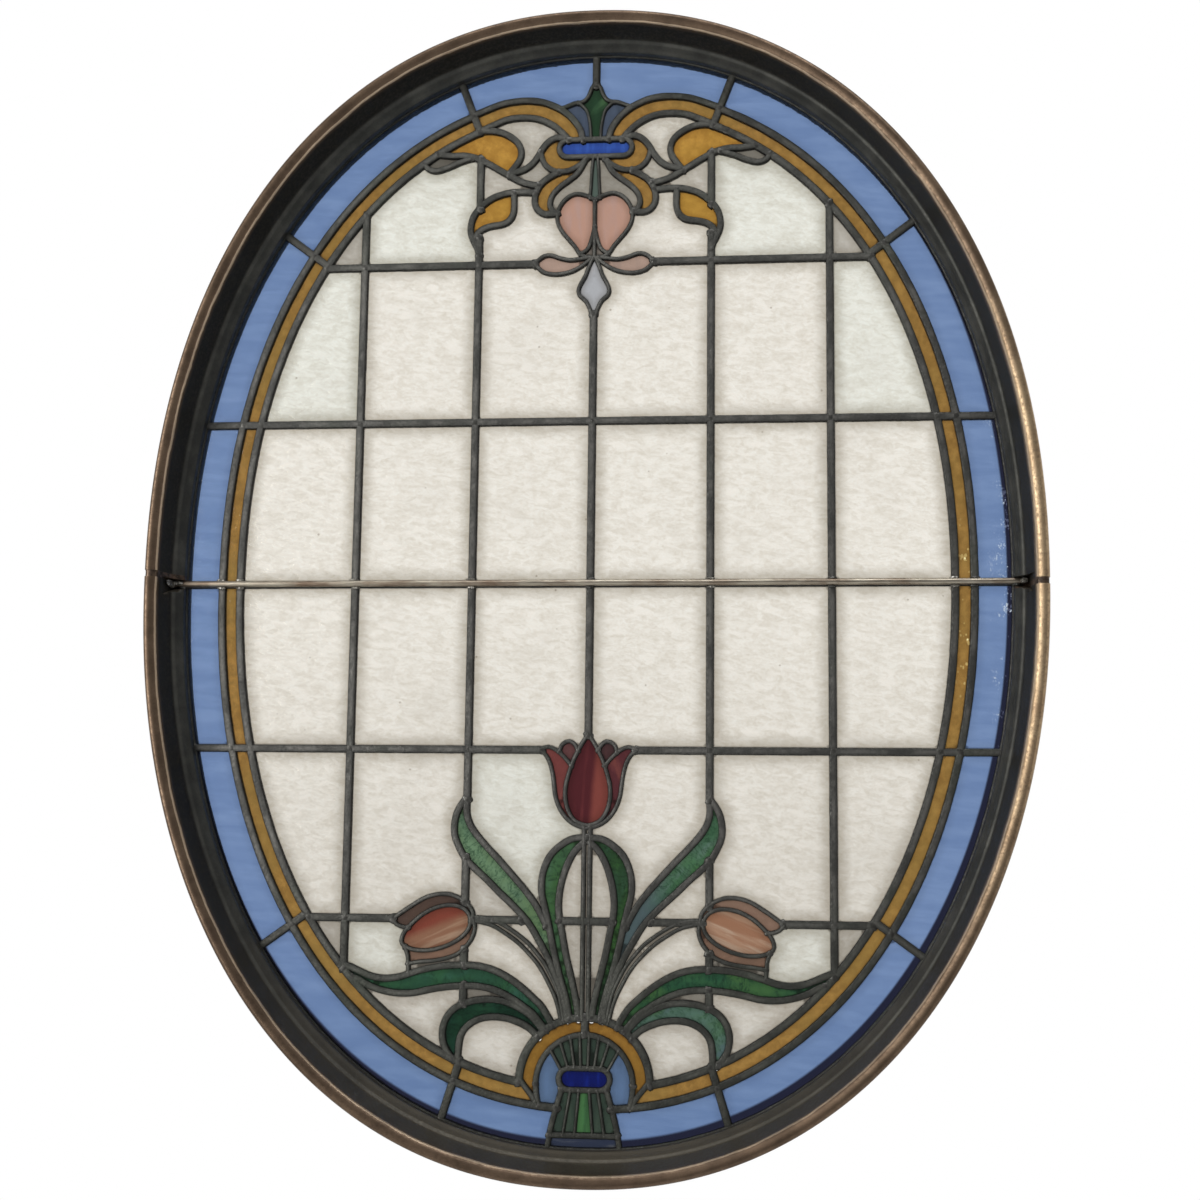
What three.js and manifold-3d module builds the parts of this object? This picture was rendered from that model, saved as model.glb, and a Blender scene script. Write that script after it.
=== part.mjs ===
// Oval leaded window: a two-part moulded frame around a panel of glass in lead cames, with one saddle bar.
// Millimetres, +Z up. The window's front faces -Y, its flat back lies on y = 0, and the origin is at the
// middle of that back face under the bottom of the oval.
import * as THREE from 'three';
import { mergeVertices } from 'three/addons/utils/BufferGeometryUtils.js';
import Module from 'manifold-3d';

const wasm = await Module();
wasm.setup();

// Driving sizes of the frame
const OUTER_WIDTH = 696;
const OUTER_HEIGHT = 910;
const OVAL_POWER = 2.154; // 2 would be a plain ellipse; a little more makes the shoulders fuller
const FRAME_FACE = 22.5; // from the outer edge in to the sight edge
const FRAME_DEPTH = 51;
const LIP_WIDTH = 9.7; // the bright rim around the front
const LIP_FALL = 3; // how far the rim falls towards the cove
const LIP_ROUND = 4; // rounding of the rim's outer edge
const BEAD_INSET = 16.5; // outer edge to the bead inside the cove
const BEAD_HEIGHT = 17; // above the glass
const SIGHT_HEIGHT = 9; // of the inner edge above the glass
const REBATE = 5; // how far the frame covers the panel's edge
const OVAL_STEPS = 48;

// Driving sizes of the leaded panel
const GLASS_BACK = 10; // from the frame's back face to the middle of the glass
const GLASS = 3;
const CAME_DEPTH = 6;
const CAME = 6; // face width of the grid and ring cames
const LEAF_CAME = 5.2; // around the leaves and scrolls
const BAND_CAME = 4.4;
const FINE_CAME = 3.2; // around the petals
const HAIR_CAME = 2.4; // between the slivers of the sheaf
const STEM_CAME = 8.6; // the two cames of the middle stem, side by side
const EDGE_CAME = 6; // the came around the panel, most of it in the frame's groove
const BORDER_INSET = 29; // sight edge to the came between the blue border and the amber strip
const STRIP_PITCH = 14.6; // from that came to the one inside the amber strip
const COLUMN_PITCH = 94;
const ROW_PITCH = 130.5;
const GRID_DROP = 3; // the middle row came lies this far below the oval's middle
const CURVE_LEEWAY = 1.3; // how far a straight stretch of came may leave its curve

// Where the columns, rows and ovals lay when the ornament's points were set out, so that it follows them
const DRAWN_ACROSS = [0, 94, 188, 281.9, 325.5];
const DRAWN_UP = [-432.5, -388.9, -264, -133.5, -3, 127.5, 258, 388.9, 432.5];

// The saddle bar and the fits
const BAR_DIAMETER = 5;
const BAR_INSET = 11; // outer edge to the end of the bar
const CLEARANCE = 0.3;

const MOUNT_INSET = FRAME_FACE / 2; // outer edge to the origin, on the back face
const PANEL_CENTRE_Z = OUTER_HEIGHT / 2 - MOUNT_INSET;
const SIGHT_X = OUTER_WIDTH / 2 - FRAME_FACE;
const SIGHT_Z = OUTER_HEIGHT / 2 - FRAME_FACE;
const FIELD_INSET = BORDER_INSET + STRIP_PITCH;
const BAR_Z = -GRID_DROP;
const TALL = 40; // height of a cutting prism
const SAMPLES = 120; // fine points on a curve before it is thinned

// Colours
const LEAD = { color: 0x4a4a4c, roughness: 0.55, metalness: 0.8 };
const BRONZE = { color: 0x6e5a44, roughness: 0.4, metalness: 0.9 };
const STEEL = { color: 0x8f8375, roughness: 0.35, metalness: 0.9 };
const CLEAR = { color: 0xe6e3d6, roughness: 0.12, metalness: 0 };
const BLUE = { color: 0x7f9fd4, roughness: 0.12, metalness: 0 };
const AMBER = { color: 0xc8892c, roughness: 0.12, metalness: 0 };
const ROSE = { color: 0xc98f7c, roughness: 0.12, metalness: 0 };

// Solids and meshes

function solidOf(geometry) {
  const bare = geometry.index ? geometry.toNonIndexed() : geometry.clone();
  bare.deleteAttribute('normal');
  bare.deleteAttribute('uv');
  const merged = mergeVertices(bare, 1e-4);
  return new wasm.Manifold(new wasm.Mesh({
    numProp: 3,
    vertProperties: new Float32Array(merged.attributes.position.array),
    triVerts: new Uint32Array(merged.index.array),
  }));
}

function geometryOf(solid) {
  const { vertProperties, triVerts } = solid.getMesh();
  const geometry = new THREE.BufferGeometry();
  geometry.setAttribute('position', new THREE.BufferAttribute(new Float32Array(vertProperties), 3));
  geometry.setIndex(new THREE.BufferAttribute(new Uint32Array(triVerts), 1));
  geometry.computeVertexNormals();
  return geometry;
}

// A flat shape in x and z becomes a prism whose middle lies on the glass plane
function prism(shape, height) {
  const geometry = new THREE.ExtrudeGeometry(shape, { depth: height, bevelEnabled: false });
  geometry.translate(0, 0, -height / 2);
  geometry.rotateX(Math.PI / 2);
  return solidOf(geometry);
}

// Neighbours are joined first, so that each join stays small
function joined(solids) {
  if (solids.length === 1) return solids[0];
  const half = Math.ceil(solids.length / 2);
  return joined(solids.slice(0, half)).add(joined(solids.slice(half)));
}

// The oval

function ovalPoint(halfX, halfZ, angle) {
  const c = Math.cos(angle);
  const s = Math.sin(angle);
  const power = 2 / OVAL_POWER;
  return new THREE.Vector2(
    Math.sign(c) * halfX * Math.abs(c) ** power,
    Math.sign(s) * halfZ * Math.abs(s) ** power,
  );
}

// Point at a true bearing from the oval's middle, on the oval that lies inset from the sight edge
function bearingPoint(inset, degrees) {
  const bearing = THREE.MathUtils.degToRad(degrees);
  const c = Math.cos(bearing);
  const s = Math.sin(bearing);
  const fit = Math.abs(c / (SIGHT_X - inset)) ** OVAL_POWER + Math.abs(s / (SIGHT_Z - inset)) ** OVAL_POWER;
  const radius = fit ** (-1 / OVAL_POWER);
  return new THREE.Vector2(radius * c, radius * s);
}

// Half width of that oval at height z, and its height at distance x
function ovalHalfWidth(inset, z) {
  const rest = 1 - Math.abs(z / (SIGHT_Z - inset)) ** OVAL_POWER;
  return rest > 0 ? (SIGHT_X - inset) * rest ** (1 / OVAL_POWER) : 0;
}

function ovalHalfHeight(inset, x) {
  const rest = 1 - Math.abs(x / (SIGHT_X - inset)) ** OVAL_POWER;
  return rest > 0 ? (SIGHT_Z - inset) * rest ** (1 / OVAL_POWER) : 0;
}

function ovalShape(halfX, halfZ) {
  const points = [];
  for (let i = 0; i < OVAL_STEPS; i += 1) {
    points.push(ovalPoint(halfX, halfZ, (2 * Math.PI * i) / OVAL_STEPS));
  }
  return new THREE.Shape(points);
}

// Came centre lines. Each is { width, points }, and a closed one has closed: true.

const rowZ = (row) => row * ROW_PITCH - GRID_DROP;
const columnX = (column) => column * COLUMN_PITCH;

const ACROSS = [0, columnX(1), columnX(2), SIGHT_X - FIELD_INSET, SIGHT_X];
const UP = [-SIGHT_Z, FIELD_INSET - SIGHT_Z, ...[-2, -1, 0, 1, 2].map(rowZ), SIGHT_Z - FIELD_INSET, SIGHT_Z];

// Carries a drawn coordinate over to the present grid, in proportion between the lines on its two sides
function carried(value, drawn, present) {
  const next = Math.min(Math.max(drawn.findIndex((line) => line > value), 1), drawn.length - 1);
  const i = value >= drawn[drawn.length - 1] ? drawn.length - 1 : next;
  return THREE.MathUtils.mapLinear(value, drawn[i - 1], drawn[i], present[i - 1], present[i]);
}

function at(x, z) {
  const across = carried(Math.abs(x), DRAWN_ACROSS, ACROSS);
  return new THREE.Vector2(Math.sign(x) * across, carried(z, DRAWN_UP, UP));
}

const bearingOf = (point) => THREE.MathUtils.radToDeg(Math.atan2(point.y, point.x));

// The end of a came that meets an oval came, in the direction of a drawn point
const onOval = (inset, x, z) => bearingPoint(inset, bearingOf(at(x, z)));
const onRing = (x, z) => onOval(FIELD_INSET, x, z);

function straight(width, ...ends) {
  return { width, points: ends };
}

// Keeps only the points that a line needs to stay within the leeway
function thinned(points) {
  const last = points.length - 1;
  const chord = new THREE.Line3(
    new THREE.Vector3(points[0].x, points[0].y, 0),
    new THREE.Vector3(points[last].x, points[last].y, 0),
  );
  const nearest = new THREE.Vector3();
  let farthest = 0;
  let farIndex = 0;
  for (let i = 1; i < last; i += 1) {
    const point = new THREE.Vector3(points[i].x, points[i].y, 0);
    const away = chord.closestPointToPoint(point, true, nearest).distanceTo(point);
    if (away > farthest) {
      farthest = away;
      farIndex = i;
    }
  }
  if (farthest <= CURVE_LEEWAY) return [points[0], points[last]];
  return [...thinned(points.slice(0, farIndex + 1)).slice(0, -1), ...thinned(points.slice(farIndex))];
}

// A smooth line through a few chosen points
function curve(width, through, closed = false) {
  const ends = through.map((point) => (point.isVector2 ? point : at(...point)));
  if (closed) ends.push(ends[0].clone());
  const points = thinned(new THREE.SplineCurve(ends).getPoints(SAMPLES));
  if (closed) points.pop();
  return { width, points, closed };
}

function mirrored(line) {
  const points = line.points.map((p) => new THREE.Vector2(-p.x, p.y));
  return { ...line, points };
}

function ringArc(inset, fromDegrees, toDegrees, width) {
  const steps = Math.round((OVAL_STEPS * Math.abs(fromDegrees - toDegrees)) / 360);
  const points = [];
  for (let i = 0; i <= steps; i += 1) {
    points.push(bearingPoint(inset, THREE.MathUtils.lerp(fromDegrees, toDegrees, i / steps)));
  }
  return { width, points };
}

function ellipseArc(width, centreZ, halfX, halfZ, steps) {
  const points = [];
  for (let i = 0; i <= steps; i += 1) {
    const turn = (Math.PI * i) / steps;
    points.push(at(halfX * Math.cos(turn), centreZ + halfZ * Math.sin(turn)));
  }
  return { width, points };
}

// A band's came: straight above and below, round at both ends
function bandLoop(centreZ, halfX, halfZ) {
  const points = [];
  for (const side of [1, -1]) {
    for (const turn of [-90, -30, 30, 90]) {
      const angle = THREE.MathUtils.degToRad(turn);
      const x = side * (halfX - halfZ + halfZ * Math.cos(angle));
      points.push(at(x, centreZ + side * halfZ * Math.sin(angle)));
    }
  }
  return { width: BAND_CAME, points, closed: true };
}

// Bearings of the border's slanting joints: where they leave the field, and where they meet the frame
const CROWN_JOINT = [75.6, 74.9];
const SHOULDER_JOINT = [49.9, 48.3];
const HIP_JOINT = [-50.1, -48.3];
const FOOT_JOINT = [-75.5, -75.2];

function borderLines() {
  const edge = -REBATE;
  const spoke = ([inner, outer]) => straight(
    CAME,
    bearingPoint(FIELD_INSET, inner),
    bearingPoint(edge, outer),
  );
  const half = [
    spoke(CROWN_JOINT),
    spoke(SHOULDER_JOINT),
    spoke(HIP_JOINT),
    spoke(FOOT_JOINT),
    ringArc(BORDER_INSET, CROWN_JOINT[0], bearingOf(at(21, -402.5)), CAME),
    ringArc(FIELD_INSET, CROWN_JOINT[0], bearingOf(at(49.5, -383)), CAME),
  ];
  return [
    ...half,
    ...half.map(mirrored),
    straight(CAME, at(0, 408), new THREE.Vector2(0, SIGHT_Z + REBATE)),
  ];
}

function gridLines() {
  const lines = [];
  for (const row of [1, 0]) {
    const reach = ovalHalfWidth(-REBATE, rowZ(row));
    lines.push(straight(CAME, new THREE.Vector2(-reach, rowZ(row)), new THREE.Vector2(reach, rowZ(row))));
  }
  const half = [];
  const rowPart = (row, fromX, toX) => half.push(
    straight(CAME, new THREE.Vector2(fromX, rowZ(row)), new THREE.Vector2(toX, rowZ(row))),
  );
  rowPart(2, at(48, 0).x, ovalHalfWidth(FIELD_INSET, rowZ(2)));
  rowPart(-1, at(37, 0).x, ovalHalfWidth(-REBATE, rowZ(-1)));
  rowPart(-2, at(150, 0).x, ovalHalfWidth(FIELD_INSET, rowZ(-2)));
  rowPart(-2, at(50, 0).x, at(88.2, 0).x);
  const columnPart = (column, fromZ, toZ) => half.push(
    straight(CAME, new THREE.Vector2(columnX(column), fromZ), new THREE.Vector2(columnX(column), toZ)),
  );
  columnPart(2, -ovalHalfHeight(FIELD_INSET, columnX(2)), ovalHalfHeight(FIELD_INSET, columnX(2)));
  for (const [low, high] of [[305, 348], [-172, 281], [-251, -217], [-298.5, -287], [-327, -314]]) {
    columnPart(1, at(0, low).y, at(0, high).y);
  }
  return [
    ...lines,
    ...half,
    ...half.map(mirrored),
    straight(CAME, new THREE.Vector2(at(-20, 0).x, rowZ(-2)), new THREE.Vector2(at(20, 0).x, rowZ(-2))),
    straight(CAME, at(0, 215), at(0, -122)),
  ];
}

// A point on the border's joint at the crown, by its share of the way out
function onCrownJoint(share) {
  const [inner, outer] = CROWN_JOINT;
  return bearingPoint(FIELD_INSET, inner).lerp(bearingPoint(-REBATE, outer), share);
}

// Scrolls, amber leaves, band, finial, heart and drop at the top of the field: the right half
function crownLines() {
  return [
    curve(LEAF_CAME, [onCrownJoint(0.27), [80, 394], [58, 397], [40, 394], [28, 388], [19, 380],
      [10.5, 362]]),
    curve(LEAF_CAME, [onCrownJoint(-0.05), [72, 381.5], [58, 382.5], [46, 380.5], [35, 375], [22, 362]]),
    curve(LEAF_CAME, [onRing(108, 365), [90, 372], [71, 367], [61, 354], [61.5, 348], [71, 334]]),
    curve(LEAF_CAME, [onRing(130, 353), [108, 351.3], [89, 344.5], [70, 333], [60, 327.5], [46, 324.5]]),
    curve(BAND_CAME, [[101, 349], [122, 341.3], [131, 339], onRing(141, 345.5)]),
    curve(LEAF_CAME, [[70, 335], [59, 337.7], [47, 349], [38, 361.5], [25, 363.5]]),
    curve(BAND_CAME, [[45, 352.5], [43, 345], [34, 336.3], [27, 335.3], [19, 337], [7, 346.5]]),
    curve(LEAF_CAME, [[30, 334.8], [44.5, 325], [49, 309], [46, 303], [40, 299.7], [31, 300.3]]),
    curve(BAND_CAME, [[7, 347], [20, 329], [33.5, 317.5], [36.3, 305.5], [32, 299.5]]),
    curve(FINE_CAME, [[0, 310.5], [7, 314.5], [15, 316.2], [22, 313.5], [30.3, 300], [26.5, 285],
      [15.5, 271.5], [6, 262.5], [0, 262]]),
    curve(FINE_CAME, [[0, 288], [2.5, 277], [11, 265.5]]),
    curve(FINE_CAME, [[2, 262.8], [20, 260.7], [35, 265], [43, 263.3], [48.5, 258]]),
    curve(FINE_CAME, [[2, 262], [18, 251.2], [31, 249], [42, 251.7], [48.5, 258]]),
    curve(FINE_CAME, [[0.5, 263], [4.5, 254], [12.5, 235], [6.7, 226.5], [0.8, 212]]),
    curve(HAIR_CAME, [[4, 312], [2.6, 338], [1.6, 348]]),
    curve(FINE_CAME, [[0, 409.5], [5.5, 405], [8.5, 398.5], [12, 395], [18, 393], [30, 389]]),
    curve(HAIR_CAME, [[15, 393.7], [7, 380.5], [4.8, 362]]),
    curve(LEAF_CAME, [[48.5, 318], [68, 318.8], [84, 314.3], [99.5, 298.5], [101, 284.5], [94, 266]]),
    curve(LEAF_CAME, [[66.3, 318.5], [66.2, 303], [72, 293.5], [84.5, 290.7], [98, 280]]),
  ];
}

// Middle tulip with the arching leaves and blades under it: the right half
function tulipLines() {
  return [
    curve(FINE_CAME, [[0, -121], [8.2, -134.5], [15.3, -153], [17.3, -171], [10.5, -187.7], [0, -191.2]]),
    curve(FINE_CAME, [[38.5, -133.3], [29.7, -143.5], [26.2, -160], [22, -177.5], [10.5, -190.3],
      [0, -193.3]]),
    curve(FINE_CAME, [[38.5, -133.3], [31, -131], [24.5, -133.8], [13, -145.5]]),
    curve(FINE_CAME, [[22.5, -135], [15.5, -126.5], [7.8, -133.7]]),
    curve(LEAF_CAME, [[0, -200.5], [11, -201.5], [27.5, -213.5], [34.5, -232], [32, -254], [26.5, -278],
      [11.5, -338]]),
    curve(LEAF_CAME, [[1, -203], [14, -219], [20.5, -241], [20.5, -262], [10, -310], [5, -338]]),
    curve(LEAF_CAME, [[94.5, -170.5], [103.3, -189], [100, -208], [87.5, -224.5], [57.5, -252],
      [42.5, -268.5], [21, -310], [13.5, -339]]),
    curve(LEAF_CAME, [[94, -172], [91, -192], [77, -209.3], [48, -240.5], [35, -259], [30.5, -268]]),
  ];
}

// Side tulip, its stem, the long leaf and the curled leaf: the right half
function sprayLines() {
  const ovalPetal = [[143, -281], [134.5, -267], [116.5, -255.3], [97.5, -254.5], [89.5, -267.5],
    [101.5, -281], [123, -287.8], [140, -285]];
  return [
    curve(FINE_CAME, ovalPetal, true),
    curve(FINE_CAME, [[151, -264.5], [126, -248.3], [106.5, -245], [92, -252.3], [87.2, -263.5]]),
    curve(FINE_CAME, [[151, -264.5], [147, -268.5], [137, -271]]),
    curve(FINE_CAME, [[87.2, -263.5], [88, -278], [98.5, -289.8], [117.5, -295.5], [137.2, -298]]),
    curve(FINE_CAME, [[140, -285.5], [137.3, -296], [136.7, -305]]),
    curve(CAME, [[84, -263.5], [64, -270.5], [45, -284.7], [31.5, -303], [17.5, -341]]),
    curve(LEAF_CAME, [onRing(188, -297.5), [174, -305], [155, -309.5], [136, -305.5], [99, -298.5],
      [75.5, -300.3], [47.5, -315.5], [24, -343]]),
    curve(LEAF_CAME, [onRing(181, -308), [168, -314.9], [146, -320.3], [107, -315], [84, -314], [63, -319.3],
      [29.5, -346]]),
    curve(LEAF_CAME, [onRing(99, -371), [109.2, -353], [106, -337.3], [93.7, -327.3], [75, -323.7],
      [55.5, -327.2], [30.5, -347]]),
    curve(LEAF_CAME, [onRing(97, -371), [95, -351], [84.8, -340.2], [67.5, -336.7], [49, -341], [35, -352]]),
  ];
}

// The sheaf in its amber arch
function sheafLines() {
  const fan = [[19, 27, -358.5], [12.5, 19, -353], [7.5, 11, -350], [2.7, 3.6, -348.5]];
  const half = [
    curve(BAND_CAME, [[37, -385], [36.2, -394], onOval(BORDER_INSET, 34.5, -402)]),
    curve(BAND_CAME, [[49.5, -382], [44, -389], onOval(BORDER_INSET, 36, -402)]),
    ...fan.map(([foot, top, topZ]) => straight(HAIR_CAME, at(foot, -373), at(top, topZ))),
    straight(BAND_CAME, at(17, -389), bearingPoint(-REBATE, -86.3)),
    straight(HAIR_CAME, at(11.5, -389.5), at(16, -422.5)),
    straight(HAIR_CAME, at(4.5, -389.5), at(6, -422.5)),
  ];
  return [
    ...half,
    ...half.map(mirrored),
    ellipseArc(CAME, -383, 49.5, 47.3, 12),
    ellipseArc(BAND_CAME, -386, 37, 37.5, 10),
    straight(CAME, at(0, -336), at(0, -348)),
    straight(BAND_CAME, at(-26, -422.5), at(26, -422.5)),
    bandLoop(-381.3, 19.5, 8),
  ];
}

function cameLines() {
  const right = [...crownLines(), ...tulipLines(), ...sprayLines()];
  return [
    ...borderLines(),
    ...gridLines(),
    ...right,
    ...right.map(mirrored),
    ...sheafLines(),
    bandLoop(354.8, 29.8, 7.3),
    straight(FINE_CAME, at(0, 311), at(0, 262)),
    straight(STEM_CAME, at(0, -190), at(0, -337)),
  ];
}

// Offsets a centre line to both sides, with mitred corners
function sides(line, half) {
  const { points, closed } = line;
  const last = points.length - 1;
  const left = [];
  const right = [];
  points.forEach((point, i) => {
    const before = points[i > 0 ? i - 1 : (closed ? last : 0)];
    const after = points[i < last ? i + 1 : (closed ? 0 : last)];
    const arriving = point.clone().sub(before).normalize();
    const leaving = after.clone().sub(point).normalize();
    const along = arriving.clone().add(leaving).normalize();
    const reach = i > 0 && i < last ? along.dot(leaving) : 1;
    const across = new THREE.Vector2(-along.y, along.x).multiplyScalar(half / Math.max(reach, 0.7));
    left.push(point.clone().add(across));
    right.push(point.clone().sub(across));
  });
  return { left, right };
}

// A tall strip that follows the line: four long faces, and an end face at each end unless it is closed
function ribbon(line, grow) {
  const { left, right } = sides(line, line.width / 2 + grow);
  const corners = left.flatMap((p, i) => [
    [p.x, -TALL / 2, p.y],
    [right[i].x, -TALL / 2, right[i].y],
    [right[i].x, TALL / 2, right[i].y],
    [p.x, TALL / 2, p.y],
  ]);
  const count = left.length;
  const faces = [];
  for (let i = 0; i < (line.closed ? count : count - 1); i += 1) {
    for (let k = 0; k < 4; k += 1) {
      const a = 4 * i + k;
      const b = 4 * i + ((k + 1) % 4);
      const c = 4 * ((i + 1) % count) + ((k + 1) % 4);
      const d = 4 * ((i + 1) % count) + k;
      faces.push(a, b, c, a, c, d);
    }
  }
  if (!line.closed) {
    const end = 4 * (count - 1);
    faces.push(2, 1, 0, 3, 2, 0);
    faces.push(end, end + 1, end + 2, end, end + 2, end + 3);
  }
  const geometry = new THREE.BufferGeometry();
  geometry.setAttribute('position', new THREE.Float32BufferAttribute(corners.flat(), 3));
  geometry.setIndex(faces);
  return solidOf(geometry);
}

// The openings between the cames: tall prisms, each with the triangles of its front face
function openings(lines, grow) {
  const inset = EDGE_CAME - REBATE + grow;
  const field = prism(ovalShape(SIGHT_X - inset, SIGHT_Z - inset), TALL / 2);
  const net = joined(lines.map((line) => ribbon(line, grow)));
  return field.subtract(net).decompose().map((solid) => ({ solid, front: frontOf(solid) }));
}

function frontOf(solid) {
  const { vertProperties, triVerts, numProp } = solid.getMesh();
  const front = [];
  for (let i = 0; i < triVerts.length; i += 3) {
    const [a, b, c] = [0, 1, 2].map((k) => {
      const start = triVerts[i + k] * numProp;
      return new THREE.Vector3(...vertProperties.slice(start, start + 3));
    });
    if (Math.max(a.y, b.y, c.y) < 1e-3 - TALL / 4) {
      for (const corner of [a, b, c]) corner.y = 0;
      const triangle = new THREE.Triangle(a, b, c);
      if (triangle.getArea() > 1e-6) front.push(triangle);
    }
  }
  return front;
}

function holds(opening, point) {
  const target = new THREE.Vector3(point.x, 0, point.y);
  return opening.front.some((triangle) => triangle.containsPoint(target));
}

// Panes with a node of their own: a name, a colour and a point inside each
function paneSeeds() {
  const seeds = [];
  const both = (name, look, point, ending = '') => {
    seeds.push({ name: `${name}_right${ending}`, look, point });
    seeds.push({ name: `${name}_left${ending}`, look, point: new THREE.Vector2(-point.x, point.y) });
  };
  const borderJoints = [
    90,
    CROWN_JOINT[1],
    SHOULDER_JOINT[1],
    ...[1, 0, -1].map((row) => bearingOf(new THREE.Vector2(ovalHalfWidth(0, rowZ(row)), rowZ(row)))),
    HIP_JOINT[1],
    FOOT_JOINT[1],
    -86,
  ];
  const middle = (BORDER_INSET - CAME / 2 + EDGE_CAME - REBATE) / 2;
  for (let i = 0; i + 1 < borderJoints.length; i += 1) {
    const point = bearingPoint(middle, (borderJoints[i] + borderJoints[i + 1]) / 2);
    both('blue_border', BLUE, point, `_${i + 1}`);
  }
  const besideRing = (x, z) => new THREE.Vector2((x + ovalHalfWidth(FIELD_INSET, z)) / 2, z);
  for (const [rowIndex, row] of [1.5, 0.5, -0.5, -1.5].entries()) {
    const middles = [columnX(0.5), columnX(1.5), besideRing(columnX(2), rowZ(row)).x];
    for (const [columnIndex, x] of [...middles.map((middle) => -middle).reverse(), ...middles].entries()) {
      const name = `clear_pane_row${rowIndex + 1}_${columnIndex + 1}`;
      seeds.push({ name, look: CLEAR, point: new THREE.Vector2(x, rowZ(row)) });
    }
  }
  const pairs = [
    ['clear_pane_shoulder', CLEAR, at(141, 290)],
    ['clear_pane_heart', CLEAR, at(70, 272)],
    ['clear_pane_hip', CLEAR, at(163, -285)],
    ['clear_pane_stem', CLEAR, at(65, -290)],
    ['clear_pane_foot', CLEAR, besideRing(at(112, -332).x, at(112, -332).y)],
    ['clear_pane_curl', CLEAR, at(70, -357)],
    ['amber_leaf', AMBER, at(85, 358)],
    ['side_tulip_petal', ROSE, at(116, -270)],
  ];
  for (const [name, look, point] of pairs) both(name, look, point);
  return seeds;
}

// Frame: a closed profile turned once around the oval, then parted across at the saddle bar

function frameProfile() {
  const groove = CAME_DEPTH / 2 + CLEARANCE;
  const back = GLASS_BACK;
  const front = FRAME_DEPTH - GLASS_BACK;
  // Inset from the outer edge, and height above the glass
  return [
    [0, -back],
    [0, front - LIP_ROUND],
    [LIP_ROUND / 2, front],
    [LIP_WIDTH, front - LIP_FALL],
    [LIP_WIDTH + 1.4, front - LIP_FALL - 5],
    [LIP_WIDTH + 3, BEAD_HEIGHT + 8],
    [BEAD_INSET - 2, BEAD_HEIGHT + 1],
    [BEAD_INSET, BEAD_HEIGHT],
    [BEAD_INSET + 1.4, BEAD_HEIGHT - 4],
    [FRAME_FACE, SIGHT_HEIGHT],
    [FRAME_FACE, groove],
    [FRAME_FACE - REBATE - CLEARANCE, groove],
    [FRAME_FACE - REBATE - CLEARANCE, -groove],
    [FRAME_FACE, -groove],
    [FRAME_FACE, -back],
  ];
}

function frameRing() {
  const reference = 100;
  const profile = frameProfile().map(([inset, height]) => new THREE.Vector2(reference - inset, height));
  profile.push(profile[0].clone());
  profile.reverse();
  const lathe = new THREE.LatheGeometry(profile, OVAL_STEPS);
  const position = lathe.attributes.position;
  for (let i = 0; i < position.count; i += 1) {
    const x = position.getX(i);
    const z = position.getZ(i);
    const inset = reference - Math.hypot(x, z);
    const turn = Math.round((Math.atan2(z, x) / Math.PI) * (OVAL_STEPS / 2)) * ((2 * Math.PI) / OVAL_STEPS);
    const point = ovalPoint(OUTER_WIDTH / 2 - inset, OUTER_HEIGHT / 2 - inset, turn);
    position.setXYZ(i, point.x, -position.getY(i), point.y);
  }
  return solidOf(lathe);
}

function barSolid(radius, halfLength) {
  const bar = new THREE.CylinderGeometry(radius, radius, 2 * halfLength, 12);
  bar.rotateZ(Math.PI / 2);
  bar.translate(0, -(CAME_DEPTH / 2 + CLEARANCE + BAR_DIAMETER / 2), BAR_Z);
  return solidOf(bar);
}

// The bar lies in a slot that is open to the front, shared by the two halves of the frame
function barSlot() {
  const halfLength = OUTER_WIDTH / 2 - BAR_INSET + CLEARANCE;
  const width = BAR_DIAMETER + 2 * CLEARANCE;
  const floor = CAME_DEPTH / 2;
  const slot = new THREE.BoxGeometry(2 * halfLength, BEAD_HEIGHT + width, width);
  slot.translate(0, -(floor + (BEAD_HEIGHT + width) / 2), BAR_Z);
  return solidOf(slot);
}

function block(lowZ, highZ) {
  const box = new THREE.BoxGeometry(2 * OUTER_WIDTH, 4 * FRAME_DEPTH, highZ - lowZ);
  box.translate(0, 0, (lowZ + highZ) / 2);
  return solidOf(box);
}

// The leaded panel: an oval plate of came depth, cut through where a pane has its own node, and
// recessed from the front down to the glass where a small piece of glass stays in the plate
function leadedPanel(lines, seeds) {
  const plate = prism(ovalShape(SIGHT_X + REBATE, SIGHT_Z + REBATE), CAME_DEPTH);
  const lift = TALL / 4 + GLASS / 2;
  const cuts = openings(lines, 0).map((opening) => {
    const { solid } = opening;
    return seeds.some(({ point }) => holds(opening, point)) ? solid : solid.translate([0, -lift, 0]);
  });
  return plate.subtract(joined(cuts));
}

function panes(lines, seeds) {
  const sheet = prism(ovalShape(SIGHT_X, SIGHT_Z), GLASS);
  const cells = openings(lines, CLEARANCE);
  return seeds.map((seed) => {
    const cell = cells.find((opening) => holds(opening, seed.point));
    return { ...seed, solid: sheet.intersect(cell.solid) };
  });
}

// The window

const panel = new THREE.Group();
panel.position.set(0, -GLASS_BACK, PANEL_CENTRE_Z);

function place(name, solid, look) {
  const mesh = new THREE.Mesh(geometryOf(solid), new THREE.MeshStandardMaterial(look));
  mesh.name = name;
  panel.add(mesh);
}

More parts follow.
